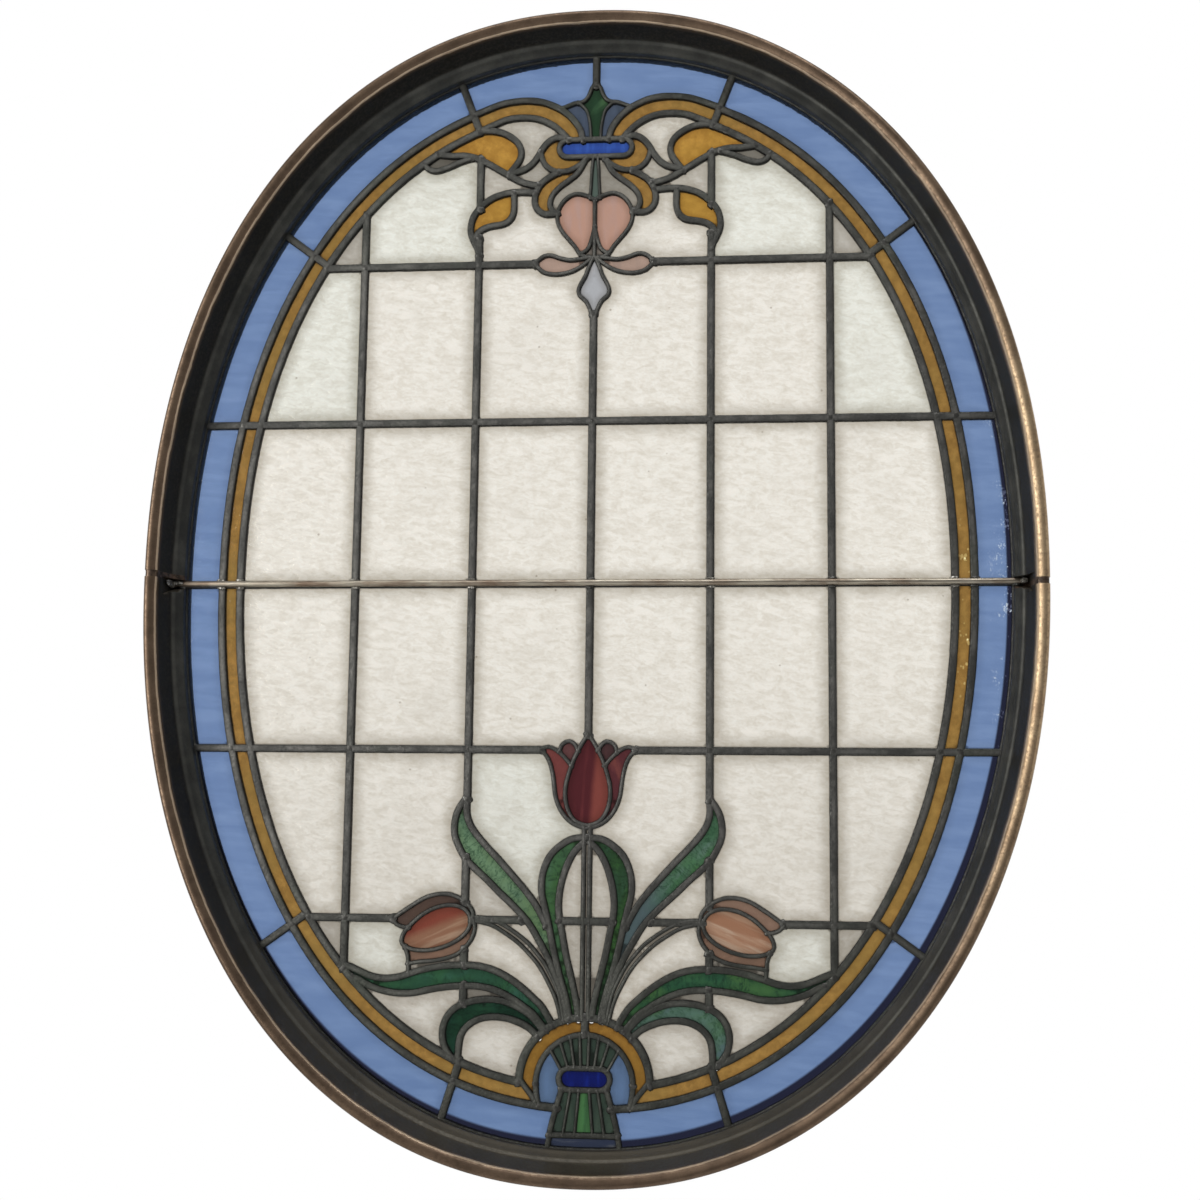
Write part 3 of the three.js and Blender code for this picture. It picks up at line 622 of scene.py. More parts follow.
def glass(name, tint, streak, turn=0.0, share=0.5, fine=130.0, drawn=6.0, cloud=None, crack=None, fade=None):
    """Streaky coloured glass; a fade is a direction, where it starts and ends, and the colour it ends in."""
    material, tree = wired(name, ROLLED)
    streaks = applied(tree, STREAKS, Tint=tint, Streak=streak, Cloud=cloud or tint, Crack=crack or tint,
                      Cloudy=float(bool(cloud)), Cracked=float(bool(crack)), Turn=math.radians(turn),
                      Share=share, Fine=float(fine), Drawn=drawn)
    colour = streaks["Colour"]
    if fade:
        (across, up), start, end, last = fade
        panel = applied(tree, PANEL_PLACE)
        way = calc(tree, "MULTIPLY_ADD", panel["Across"], across, calc(tree, "MULTIPLY", panel["Up"], up))
        way = calc(tree, "MULTIPLY_ADD", streaks["Patches"], 0.5 * (end - start), way)
        middle = (end - start) * 0.25
        colour = mixed(tree, spread(tree, way, start + middle, end + middle), colour, last)
    # Dirt, and painted shade from the cames, along the cames
    dirt_and_shade = applied(tree, CAME_DIRT_AND_SHADE, Colour=colour, Dirt=(0.45, 0.42, 0.38), Reach=7.0, Depth=0.55)
    surface = applied(tree, RIPPLES, Stretch=(1.7, 1.0, 1.0))
    return finished(material, dirt_and_shade["Colour"], surface["Normal"])


# The oval inside which the border glass is lit, and where its middle lies, mm
SHADE_X = 322.9
SHADE_Z = 430.4
SHADE_LEFT = 1.8
SHADE_UP = 4.0


def blue_glass(name):
    """Pale blue border glass, with the deep shade that the moulding throws on its outer edge, and painted
    glints on the right.
    """
    material, tree = wired(name, ROLLED)
    wisps = noise_map(tree, coords(tree, (5, 1, 1), 4), 120, 4, 0.6, 0.3)
    colour = mixed(tree, spread(tree, wisps, 0.35, 0.68), (0.15, 0.235, 0.435), (0.19, 0.285, 0.495))
    # Dirt, and painted shade from the cames, along the cames
    dirt_and_shade = applied(tree, CAME_DIRT_AND_SHADE, Colour=colour, Dirt=GREY, Reach=8.0, Depth=0.35)
    # Painted glints: bright specks of painted highlight on the blue near the right edge
    inner = applied(tree, GLINTS, Low=-250.0, High=200.0, Left=304.0, Scale=620.0, Share=0.12)
    colour = mixed(tree, inner["Mask"], dirt_and_shade["Colour"], (0.8, 0.85, 0.9))
    panel = applied(tree, PANEL_PLACE)
    low = spread(tree, panel["Up"], -420.0, -250.0, 0.6, 0.0)
    colour = mixed(tree, low, colour, (0.78, 0.82, 0.84), "MULTIPLY")
    terms = []
    for axis, off, half in ((panel["Across"], SHADE_LEFT, SHADE_X), (panel["Up"], -SHADE_UP, SHADE_Z)):
        share = calc(tree, "ABSOLUTE", calc(tree, "DIVIDE", calc(tree, "ADD", axis, off), half))
        terms.append(calc(tree, "POWER", share, OVAL_POWER))
    shaded = spread(tree, calc(tree, "ADD", *terms), 0.993, 1.005)
    colour = mixed(tree, shaded, colour, (0.012, 0.014, 0.035))
    # Painted glints: bright specks of painted highlight, also over the painted shade
    outer = applied(tree, GLINTS, Low=-250.0, High=250.0, Left=308.0, Scale=520.0, Share=0.16)
    colour = mixed(tree, outer["Mask"], colour, (0.55, 0.62, 0.7))
    surface = applied(tree, RIPPLES, Stretch=(4.0, 1.0, 1.0), Scale=260.0, Strength=0.35)
    return finished(material, colour, surface["Normal"])


def amber_glass(name, dark, light, brown):
    """Mottled amber, with painted glints low on the right."""
    material, tree = wired(name, ROLLED)
    mottle = noise_map(tree, coords(tree), 150, 5, 0.7)
    colour = mixed(tree, spread(tree, mottle, 0.35, 0.68), dark, light)
    patches = noise_map(tree, coords(tree), 17, 2)
    colour = mixed(tree, spread(tree, patches, 0.4, 0.65, 0.0, 0.5), colour, brown)
    # Dirt, and painted shade from the cames, along the cames
    dirt_and_shade = applied(tree, CAME_DIRT_AND_SHADE, Colour=colour, Dirt=(0.5, 0.42, 0.3), Reach=6.0, Depth=0.5)
    # Painted glints: bright specks of painted highlight low on the right
    glints = applied(tree, GLINTS, Low=-210.0, High=70.0, Left=278.0, Scale=300.0, Share=0.2)
    colour = mixed(tree, glints["Mask"], dirt_and_shade["Colour"], (0.95, 0.85, 0.45))
    surface = applied(tree, RIPPLES, Stretch=(1.2, 1.0, 1.0), Scale=240.0)
    return finished(material, colour, surface["Normal"])


def clear_glass(name):
    """Rippled clear glass: painted light and shade along the ripples, painted highlight lines on their
    crests, dirt and painted shade along the cames, darker towards the bottom, a few specks.
    """
    material, tree = wired(name, {**ROLLED, "Roughness": 0.12})
    surface = applied(tree, RIPPLES, Stretch=(2.3, 1.0, 1.0), Warp=0.9, Strength=0.45, Distance=0.0007)
    ripples = surface["Ripples"]
    grain = noise_map(tree, coords(tree, (1.4, 1, 1), 8), 420, 3, 0.6)
    # Painted light and shade along the ripples
    colour = mixed(tree, spread(tree, ripples, 0.32, 0.7), (0.75, 0.7, 0.61), (0.93, 0.885, 0.805))
    colour = mixed(tree, spread(tree, grain, 0.42, 0.64, 0.0, 0.55), colour, (0.93, 0.9, 0.83))
    # Painted highlight lines along the ripples' crests
    crest_highlight = calc(tree, "ABSOLUTE", calc(tree, "SUBTRACT", ripples, 0.55))
    colour = mixed(tree, spread(tree, crest_highlight, 0.0, 0.035, 0.55, 0.0), colour, (0.95, 0.94, 0.88))
    colour = mixed(tree, attribute(tree, "tone"), colour, (0.955, 1.0, 1.0), "MULTIPLY")
    # Painted shade and dirt on the small panes listed in DIM_PANES
    colour = mixed(tree, attribute(tree, "dim"), colour, (0.03, 0.028, 0.022))
    cloud = noise_map(tree, coords(tree), 12, 4, 0.6)
    colour = mixed(tree, spread(tree, cloud, 0.5, 0.75, 0.0, 0.3), colour, (0.66, 0.62, 0.55))
    up = applied(tree, PANEL_PLACE)["Up"]
    colour = mixed(tree, spread(tree, up, -330.0, 40.0, 0.62, 0.0), colour, (0.72, 0.71, 0.7), "MULTIPLY")
    colour = mixed(tree, spread(tree, up, 290.0, 350.0, 0.0, 0.35), colour, (0.7, 0.69, 0.66), "MULTIPLY")
    # Dirt, and painted shade from the cames, along the cames
    dirt_and_shade = applied(tree, CAME_DIRT_AND_SHADE, Colour=colour, Dirt=(0.52, 0.49, 0.44), Reach=13.0, Depth=0.8)
    specks = node(tree, "ShaderNodeTexVoronoi", {"Vector": coords(tree), "Scale": 34.0})
    spot = spread(tree, specks.outputs["Distance"], 0.018, 0.04, 0.8, 0.0)
    colour = mixed(tree, spot, dirt_and_shade["Colour"], (0.25, 0.2, 0.15), "MULTIPLY")
    return finished(material, colour, surface["Normal"])


def lead(name):
    """Dull grey lead: dark where cement sits along its edges, with a painted highlight along the crown."""
    material, tree = wired(name, {"Metallic": 0.55})
    old = applied(tree, PATINA, Patch=45.0, Grain=520.0, Dents=2.5, Strength=0.7, Distance=0.0007)
    patches, fine = old["Patches"], old["Fine"]
    colour = mixed(tree, spread(tree, patches, 0.3, 0.7), (0.05, 0.05, 0.047), (0.085, 0.084, 0.078))
    colour = mixed(tree, spread(tree, fine, 0.4, 0.72, 0.0, 0.5), colour, (0.035, 0.036, 0.034))
    across = attribute(tree, "across")
    # Painted highlight along the middle of the crown, in patches
    crown_highlight = spread(tree, across, 0.05, 0.55, 0.5, 0.0)
    crown_highlight = calc(tree, "MULTIPLY", crown_highlight, spread(tree, patches, 0.4, 0.62))
    colour = mixed(tree, crown_highlight, colour, (0.2, 0.195, 0.185))
    edge = calc(tree, "MULTIPLY_ADD", fine, 0.35, across)
    colour = mixed(tree, spread(tree, edge, 0.85, 1.08, 0.0, 0.9), colour, (0.016, 0.016, 0.015))
    up = applied(tree, PANEL_PLACE)["Up"]
    colour = mixed(tree, spread(tree, up, -330.0, -200.0, 0.75, 0.0), colour, (0.62, 0.66, 0.6), "MULTIPLY")
    colour = mixed(tree, spread(tree, up, 220.0, 290.0, 0.0, 0.75), colour, (0.72, 0.74, 0.7), "MULTIPLY")
    green = noise_map(tree, coords(tree), 19, 3)
    colour = mixed(tree, spread(tree, green, 0.55, 0.75, 0.0, 0.3), colour, (0.06, 0.075, 0.055))
    return finished(material, colour, old["Normal"], spread(tree, fine, 0.3, 0.7, 0.4, 0.62))


def solder(name, tone=(0.11, 0.109, 0.102), dark=(0.04, 0.04, 0.037), bright=(0.5, 0.49, 0.46), share=0.66):
    """Dull solder with a few bright scratches."""
    material, tree = wired(name, {"Metallic": 0.7})
    old = applied(tree, PATINA, Patch=210.0, Grain=480.0, GrainStretch=(1.0, 1.0, 3.0))
    colour = mixed(tree, spread(tree, old["Patches"], 0.38, 0.66), dark, tone)
    colour = mixed(tree, spread(tree, old["Fine"], share, share + 0.06, 0.0, 0.8), colour, bright)
    return finished(material, colour, old["Normal"], spread(tree, old["Patches"], 0.3, 0.7, 0.55, 0.35))


def bronze(name):
    """Brown bronze: a painted highlight line near the inner edge of the front rim, a painted highlight on the
    right side of the rim, black in the cove, painted lighter where the moulding faces up, as though lit from
    above.
    """
    material, tree = wired(name, {"Metallic": 0.8})
    inset = attribute(tree, "inset")
    panel = applied(tree, PANEL_PLACE)
    old = applied(tree, PATINA, Patch=38.0, Grain=420.0, Strength=0.25, Distance=0.0004)
    patches, fine = old["Patches"], old["Fine"]
    # Painted highlight on the right side of the rim, fading out above and below
    right_side_highlight = spread(tree, panel["Across"], 120.0, 330.0)
    right_side_highlight = calc(tree, "MULTIPLY", right_side_highlight, spread(tree, panel["Up"], -300.0, -90.0, 0.15, 1.0))
    right_side_highlight = calc(tree, "MULTIPLY", right_side_highlight, spread(tree, panel["Up"], 90.0, 250.0, 1.0, 0.1))
    dark_rim = mixed(tree, spread(tree, patches, 0.32, 0.66), (0.1, 0.068, 0.046), (0.165, 0.113, 0.076))
    highlit_rim = mixed(tree, spread(tree, patches, 0.32, 0.66), (0.33, 0.23, 0.14), (0.48, 0.36, 0.225))
    rim = mixed(tree, right_side_highlight, dark_rim, highlit_rim)
    rim = mixed(tree, spread(tree, fine, 0.45, 0.72, 0.0, 0.5), rim, (0.09, 0.06, 0.042))
    wander = calc(tree, "MULTIPLY_ADD", patches, 1.4, inset)
    # Painted highlight line along the inner edge of the front rim
    lip_highlight = calc(tree, "MULTIPLY", spread(tree, wander, 9.3, 9.8), spread(tree, wander, 10.3, 10.7, 0.8, 0.0))
    rim = mixed(tree, lip_highlight, rim, (0.66, 0.52, 0.38))
    cove = mixed(tree, spread(tree, fine, 0.4, 0.7), (0.022, 0.021, 0.018), (0.045, 0.041, 0.034))
    flat = mixed(tree, spread(tree, patches, 0.35, 0.7), (0.045, 0.046, 0.043), (0.08, 0.08, 0.073))
    inner = mixed(tree, spread(tree, inset, 14.6, 16.0), cove, flat)
    # Painted light: the moulding is painted lighter where it faces up, as though lit from above
    facing = node(tree, "ShaderNodeNewGeometry")
    parts = node(tree, "ShaderNodeSeparateXYZ", {"Vector": facing.outputs["Normal"]})
    upward = spread(tree, parts.outputs["Z"], 0.25, 0.85)
    lit_from_above = calc(tree, "MULTIPLY", upward, spread(tree, patches, 0.2, 0.6, 0.6, 1.0))
    inner = mixed(tree, lit_from_above, inner, (0.1, 0.088, 0.068))
    colour = mixed(tree, spread(tree, wander, 10.3, 11.6), rim, inner)
    colour = mixed(tree, spread(tree, inset, 0.0, 0.4), (0.09, 0.062, 0.042), colour)
    rough = spread(tree, fine, 0.3, 0.7, 0.33, 0.5)
    rough = calc(tree, "ADD", rough, spread(tree, inset, 9.6, 11.2, 0.0, 0.1))
    return finished(material, colour, old["Normal"], rough)


def rod_metal(name):
    material, tree = wired(name, {"Metallic": 0.9})
    old = applied(tree, PATINA, PatchStretch=(2.5, 1.0, 1.0), Grain=900.0, GrainStretch=(12.0, 1.0, 1.0),
                  Strength=0.2, Distance=0.0002)
    colour = mixed(tree, spread(tree, old["Patches"], 0.42, 0.66), (0.43, 0.39, 0.32), (0.2, 0.145, 0.105))
    return finished(material, colour, old["Normal"], spread(tree, old["Fine"], 0.3, 0.7, 0.28, 0.46))


LEAD = lead("oxidised_lead")
SOLDER = solder("dull_solder")
BRIGHT_SOLDER = solder("bright_solder", (0.34, 0.33, 0.3), (0.09, 0.085, 0.075), (0.85, 0.83, 0.78), 0.56)
BROWN_SOLDER = solder("brown_solder", (0.12, 0.08, 0.055), (0.028, 0.02, 0.016), (0.3, 0.24, 0.17), 0.64)
BRONZE = bronze("patinated_bronze")
ROD = rod_metal("stained_steel")
CLEAR = clear_glass("rippled_clear_glass")

# Streaky glass: material slot, tint, streak, and then turn, share, fine, drawn, cloud, crack and fade
STREAKY = {
    "band_blue": ("blue_glass", (0.03, 0.08, 0.36), (0.05, 0.13, 0.5), 0, 0.4, 160),
    "deep_blue": ("blue_glass", (0.003, 0.008, 0.11), (0.006, 0.018, 0.2), 0, 0.3, 160),
    "slate": ("blue_glass", (0.075, 0.1, 0.15), (0.05, 0.07, 0.1)),
    "strip_navy": ("blue_glass", (0.028, 0.038, 0.072), (0.11, 0.12, 0.14), 90),
    "finial_green": ("green_glass", (0.018, 0.05, 0.024), (0.06, 0.135, 0.06), 52, 0.42, 70, 4.0),
    "stem_green": ("green_glass", (0.1, 0.14, 0.12), (0.06, 0.09, 0.075)),
    "left_leaf": ("green_glass", (0.052, 0.125, 0.058), (0.09, 0.19, 0.12), 10, 0.5, 80, 2.5,
        (0.05, 0.13, 0.045), (0.02, 0.05, 0.025)),
    "right_leaf": ("green_glass", (0.022, 0.06, 0.025), (0.035, 0.09, 0.05), 0, 0.5, 80, 2.5,
        (0.04, 0.115, 0.03), (0.01, 0.025, 0.012)),
    "left_blade": ("green_glass", (0.145, 0.245, 0.14), (0.09, 0.165, 0.115), -40, 0.5, 80, 3.0,
        (0.125, 0.21, 0.1), (0.03, 0.075, 0.04)),
    "right_blade": ("green_glass", (0.05, 0.13, 0.068), (0.125, 0.19, 0.165), 40, 0.45, 70, 2.5,
        (0.065, 0.17, 0.07), (0.02, 0.06, 0.03), ((-1.0, -1.0), 165, 215, (0.08, 0.12, 0.13))),
    "left_long_leaf": ("green_glass", (0.022, 0.075, 0.042), (0.035, 0.11, 0.075), 85, 0.5, 70, 2.0,
        (0.03, 0.105, 0.045), (0.012, 0.04, 0.022)),
    "right_long_leaf": ("green_glass", (0.02, 0.08, 0.04), (0.03, 0.1, 0.045), 95, 0.5, 70, 2.0,
        (0.05, 0.13, 0.045), (0.01, 0.035, 0.02)),
    "night_green": ("green_glass", (0.006, 0.03, 0.016), (0.01, 0.045, 0.028), 0, 0.5, 90, 2.0,
        (0.012, 0.05, 0.025), (0.003, 0.012, 0.007)),
    "teal": ("green_glass", (0.085, 0.16, 0.125), (0.09, 0.15, 0.16), 60, 0.5, 60, 2.0,
        (0.07, 0.155, 0.07), (0.02, 0.06, 0.03)),
    "rose": ("rose_glass", (0.49, 0.29, 0.22), (0.47, 0.3, 0.25)),
    "petal_rose": ("rose_glass", (0.48, 0.34, 0.275), (0.43, 0.31, 0.255)),
    "dark_sliver": ("rose_glass", (0.25, 0.22, 0.19), (0.18, 0.16, 0.14)),
    "pearl": ("clear_glass", (0.43, 0.44, 0.46), (0.48, 0.48, 0.49)),
    "wine": ("wine_glass", (0.075, 0.014, 0.018), (0.115, 0.024, 0.026), 4, 0.4, 130, 8.0, None, None,
        ((1.0, -0.08), 14.0, 20.0, (0.2, 0.05, 0.04))),
    "left_wine": ("wine_glass", (0.19, 0.052, 0.048), (0.28, 0.09, 0.078), 15, 0.4, 120, 5.0),
    "right_wine": ("wine_glass", (0.105, 0.028, 0.034), (0.19, 0.055, 0.05), -15, 0.4, 120, 5.0),
    "back_wine": ("wine_glass", (0.06, 0.03, 0.032), (0.08, 0.035, 0.035)),
    "left_back_wine": ("wine_glass", (0.12, 0.05, 0.05), (0.15, 0.06, 0.055)),
    "left_tulip": ("rose_glass", (0.25, 0.125, 0.075),
        (0.38, 0.25, 0.17), 68, 0.4, 210, 14.0, None, None, ((-0.4, 1.0), -227, -218,
        (0.2, 0.05, 0.032))),
    "right_tulip": ("rose_glass", (0.3, 0.15, 0.088), (0.46, 0.33, 0.24), 112, 0.5, 210, 14.0),
    "tulip_brown": ("rose_glass", (0.2, 0.125, 0.088), (0.25, 0.15, 0.105), 65),
    "tulip_dim": ("rose_glass", (0.08, 0.052, 0.042), (0.1, 0.065, 0.05), 65),
    "tulip_red": ("rose_glass", (0.26, 0.165, 0.12), (0.2, 0.08, 0.06), 115, 0.3),
    "fan_green": ("green_glass", (0.034, 0.055, 0.042), (0.05, 0.078, 0.056)),
    "fan_bright": ("green_glass", (0.06, 0.17, 0.06), (0.04, 0.115, 0.045)),
    "side_blue": ("blue_glass", (0.1, 0.165, 0.29), (0.085, 0.14, 0.25)),
}
# Amber glass: dark, light and brown
AMBERS = {
    "amber": ((0.27, 0.15, 0.038), (0.42, 0.243, 0.066), (0.28, 0.185, 0.05)),
    "leaf_amber": ((0.36, 0.18, 0.031), (0.53, 0.29, 0.057), (0.42, 0.24, 0.04)),
    "arch_amber": ((0.22, 0.11, 0.02), (0.34, 0.18, 0.034), (0.25, 0.14, 0.025)),
}
TINTS = {"clear": (CLEAR, "clear_glass"), "blue": (blue_glass("pale_blue_glass"), "blue_glass")}
for label, shades in AMBERS.items():
    TINTS[label] = (amber_glass(f"{label}_glass", *shades), "amber_glass")
for label, (slot, *look) in STREAKY.items():
    TINTS[label] = (glass(f"{label}_glass", *look), slot)

# Panes: name, tint and a point inside; those beside the middle come in mirrored pairs
SEEDS = [
    ("finial", "finial_green", (0, 387)),
    ("finial_sliver", "slate", (14, 380)),
    ("top_arch", "amber", (60, 389.5)),
    ("amber_leaf", "leaf_amber", (85, 358)),
    ("upper_crescent", "amber", (33, 345)),
    ("lower_crescent", "amber", (42, 315)),
    ("small_amber_leaf", "leaf_amber", (80, 302)),
    ("crown_band", "band_blue", (0, 355)),
    ("crown_stem", "stem_green", (0, 325)),
    ("heart_lobe", "rose", (14, 295)),
    ("heart_sliver", "dark_sliver", (4, 267)),
    ("heart_petal", "petal_rose", (28, 256)),
    ("pale_drop", "pearl", (0, 237)),
    ("tulip_centre", "wine", (0, -162)),
    ("tulip_side_petal", "right_wine", (23, -150)),
    ("tulip_back_petal", "back_wine", (15, -134)),
    ("arching_leaf", "right_leaf", (27, -230)),
    ("blade", "right_blade", (68, -230)),
    ("side_tulip_petal", "right_tulip", (116, -270)),
    ("side_tulip_upper_petal", "tulip_red", (122, -252)),
    ("side_tulip_lower_petal", "tulip_brown", (110, -290)),
    ("long_leaf", "right_long_leaf", (100, -306)),
    ("curled_leaf", "teal", (80, -331)),
    ("sheaf_arch", "arch_amber", (30, -358)),
    ("sheaf_side", "side_blue", (28, -385)),
    ("sheaf_band", "deep_blue", (0, -381)),
    ("fan_top_middle", "fan_green", (0, -362)),
    ("fan_top_1", "fan_green", (6, -361)),
    ("fan_top_2", "fan_green", (13, -362)),
    ("fan_top_3", "fan_green", (19, -364)),
    ("fan_foot_middle", "fan_bright", (0, -407)),
    ("fan_foot_1", "fan_green", (10, -407)),
    ("fan_foot_2", "fan_green", (18, -410)),
    ("dark_strip", "strip_navy", (0, -428)),
]
MIDDLE = (FACE + BORDER) - 16
BLUE_BEARINGS = [83, 61.6, 35, 11, -12, -37, -62, -80.6]
AMBER_BEARINGS = [63, 38, 12.3, -13.5, -38.3, -63.1, -79.6]
for number, bearing in enumerate(BLUE_BEARINGS, 1):
    SEEDS.append((f"blue_border_{number}", "blue", oval_at(MIDDLE, bearing)))
for number, bearing in enumerate(AMBER_BEARINGS, 1):
    SEEDS.append((f"amber_strip_{number}", "amber", oval_at(FACE + (BORDER + FIELD) / 2, bearing)))
for row_number, row in enumerate((1.5, 0.5, -0.5, -1.5), 1):
    for column_number, column in enumerate((0.5, 1.5, 2.3), 1):
        point = (column * COLUMN, row_z(row))
        SEEDS.append((f"clear_pane_row{row_number}_{column_number}", "clear", point))
for label, x, z in (("shoulder", 141, 290), ("heart", 70, 275), ("hip", 163, -285), ("stem", 65, -290),
                    ("foot", 140, -335), ("curl", 70, -357)):
    SEEDS.append((f"clear_pane_{label}", "clear", (x, z)))
# Tints of the left panes that differ from their right partners
LEFT_TINTS = {
    "curled_leaf": "night_green",
    "arching_leaf": "left_leaf",
    "blade": "left_blade",
    "long_leaf": "left_long_leaf",
    "tulip_side_petal": "left_wine",
    "tulip_back_petal": "left_back_wine",
    "side_tulip_petal": "left_tulip",
    "side_tulip_upper_petal": "tulip_dim",
}
# Small clear panes darkened by painted shade and dirt: a point inside, and how dark
DIM_PANES = [
    ((-125, 346), 0.8), ((125, 346), 0.68), ((-15, 324), 0.47), ((15, 324), 0.54), ((-49, 335), 0.38),
    ((49, 335), 0.27), ((-199, 272), 0.36), ((199, 272), 0.36), ((-81, -320), 0.72), ((81, -320), 0.6),
    ((-45, -280), 0.52), ((45, -280), 0.6), ((-198, -276), 0.27), ((198, -276), 0.24), ((8, -287), 0.3),
    ((-8, -287), 0.22), ((116, -297), 0.6), ((-116, -297), 0.4), ((-55, 366), 0.2), ((55, 366), 0.05),
    ((-78, 326), 0.2), ((78, 326), 0.2), ((-78, -249), 0.18), ((10, -241), 0.1), ((-10, -241), 0.1),
    ((-126, -333), 0.12), ((126, -333), 0.1), ((-68, -358), 0.1), ((68, -358), 0.1), ((-55, 281), 0.05),
]
COOL_PANES = ("clear_pane_row1_1", "clear_pane_row1_6", "clear_pane_shoulder", "clear_pane_row4_3",
              "clear_pane_hip")


def cad_nodes(name, side):
    """The solids that a pane stands for."""
    if name.startswith("clear_pane_row"):
        row_part, column_part = name.split("row")[1].split("_")
        column = 3 + int(column_part) if side == "right" else 4 - int(column_part)
        return [f"clear_pane_row{row_part}_{column}"]
    if name.startswith("blue_border"):
        return [f"blue_border_{side}_{name[-1]}"]
    if name.startswith("clear_pane") or name in ("amber_leaf", "side_tulip_petal"):
        return [f"{name}_{side}"]
    return []


# Distance from the cames


def line_trees():
    trees = {}
    for line in CAMES:
        trees.setdefault(line["width"], []).append(resampled(line["points"], 0.5))
    out = {}
    for width, samples in trees.items():
        points = np.concatenate(samples)
        tree = kdtree.KDTree(len(points))
        for i, (x, z) in enumerate(points):
            tree.insert((x, z, 0), i)
        tree.balance()
        out[width] = tree
    return out


TREES = line_trees()


def gap_to_cames(x, z):
    """How far a point lies outside every came's face; negative under one."""
    return min(tree.find((x, z, 0))[2] - width / 2 for width, tree in TREES.items())


def outline(line, half):
    """Both sides of a came with round ends, as one closed line."""
    points = line["points"]
    if line["closed"]:
        points = points[:-1]
        before = np.roll(points, 1, axis=0)
        after = np.roll(points, -1, axis=0)
    else:
        before = np.concatenate([points[:1], points[:-1]])
        after = np.concatenate([points[1:], points[-1:]])
    along = after - before
    along = along / np.maximum(np.hypot(*along.T), 1e-9)[:, None]
    across = np.stack([-along[:, 1], along[:, 0]], 1)
    left = points + across * half
    right = points - across * half
    if line["closed"]:
        return [left, right]

    def cap(centre, outward):
        start = math.atan2(outward[1], outward[0]) + math.pi / 2
        turns = [start - math.pi * i / 6 for i in range(1, 6)]
        return [centre + half * np.array((math.cos(turn), math.sin(turn))) for turn in turns]

    ring = list(left) + cap(points[-1], along[-1]) + list(right[::-1]) + cap(points[0], -along[0])
    return [np.array(ring)]


def pane_meshes():
    """Cuts the oval field into panes along the cames: lists of flat triangles, one list a pane."""
    verts, edges = [], []

    def ring(points):
        base = len(verts)
        verts.extend(Vector((float(x), float(z))) for x, z in points)
        count = len(points)
        edges.extend((base + i, base + (i + 1) % count) for i in range(count))

    limit = EDGE + 1.0
    ring(np.array([oval_at(limit, 360 * i / 900) for i in range(900)]))
    for line in CAMES:
        for loop in outline(line, line["width"] / 2 - UNDER):
            ring(loop)
    rows = int(HALF_Z / FINE_PITCH)
    columns = int(HALF_X / FINE_PITCH)
    for j in range(-rows, rows + 1):
        z = j * FINE_PITCH
        for i in range(-columns, columns + 1):
            x = i * FINE_PITCH
            if abs(x) < half_width(limit + 2, z):
                gap = gap_to_cames(x, z)
                if 0.8 < gap < FINE_REACH or (gap > 0.8 and i % 2 == 0 and j % 2 == 0):
                    verts.append(Vector((x, z)))
    points, _, triangles, _, _, _ = geometry.delaunay_2d_cdt(verts, edges, [], 0, 1e-4)
    flat = np.array([tuple(p) for p in points])
    faces = np.array([t for t in triangles if len(t) == 3])
    centres = flat[faces].mean(1)
    inside = ((np.abs(centres[:, 0]) / (HALF_X - limit)) ** OVAL_POWER
              + (np.abs(centres[:, 1]) / (HALF_Z - limit)) ** OVAL_POWER) < 1
    keep = [i for i in range(len(faces)) if inside[i] and gap_to_cames(*centres[i]) > -UNDER]
    owner = {i: i for i in keep}

    def root(i):
        while owner[i] != i:
            owner[i] = owner[owner[i]]
            i = owner[i]
        return i

    by_edge = {}
    for i in keep:
        a, b, c = (int(v) for v in faces[i])
        for pair in ((a, b), (b, c), (c, a)):
            key = (min(pair), max(pair))
            if key in by_edge:
                owner[root(i)] = root(by_edge[key])
            else:
                by_edge[key] = i
    panes = {}
    for i in keep:
        panes.setdefault(root(i), []).append(tuple(int(v) for v in faces[i]))
    return flat, list(panes.values())


def area_of(flat, triangles):
    t = flat[np.array(triangles)]
    ab, ac = t[:, 1] - t[:, 0], t[:, 2] - t[:, 0]
    return float(np.abs(ab[:, 0] * ac[:, 1] - ab[:, 1] * ac[:, 0]).sum() / 2)


def holds(flat, triangles, point):
    t = flat[np.array(triangles)]
    p = np.array(point)

    def side(a, b):
        return (b[:, 0] - a[:, 0]) * (p[1] - a[:, 1]) - (b[:, 1] - a[:, 1]) * (p[0] - a[:, 0])

    d = np.stack([side(t[:, 0], t[:, 1]), side(t[:, 1], t[:, 2]), side(t[:, 2], t[:, 0])], 1)
    return bool(((d >= 0).all(1) | (d <= 0).all(1)).any())


def pane_piece(name, flat, triangles, material, slot, tone, dim):
    """One pane: its front is laid out between the cames and drawn back through the glass."""
    form = labelled("edge", "tone", "dim")
    edge, toned, dimmed = (form.verts.layers.float[label] for label in ("edge", "tone", "dim"))
    corners = {}
    for v in sorted({v for t in triangles for v in t}):
        x, z = flat[v]
        gap = gap_to_cames(x, z)
        lift = 0.12 * soft(x / 11, z / 7, 3.0) if gap > 0.5 else 0.0
        corner = form.verts.new(place(x, z, GLASS / 2 + lift))
        corner[edge] = min(max(gap, 0.0), GRIME_AND_SHADE_REACH)
        corner[toned] = tone
        corner[dimmed] = dim
        corners[v] = corner
    for t in triangles:
        form.faces.new([corners[v] for v in t])
    drawn = bmesh.ops.extrude_face_region(form, geom=form.faces[:])["geom"]
    for corner in drawn:
        if isinstance(corner, bmesh.types.BMVert):
            x, z = corner.co.x * 1000, corner.co.z * 1000 - CENTRE_Z
            corner.co = place(x, z, -GLASS / 2 + 0.1 * soft(x / 9, z / 12, 9.0))
    return piece(name, form, material, 50)


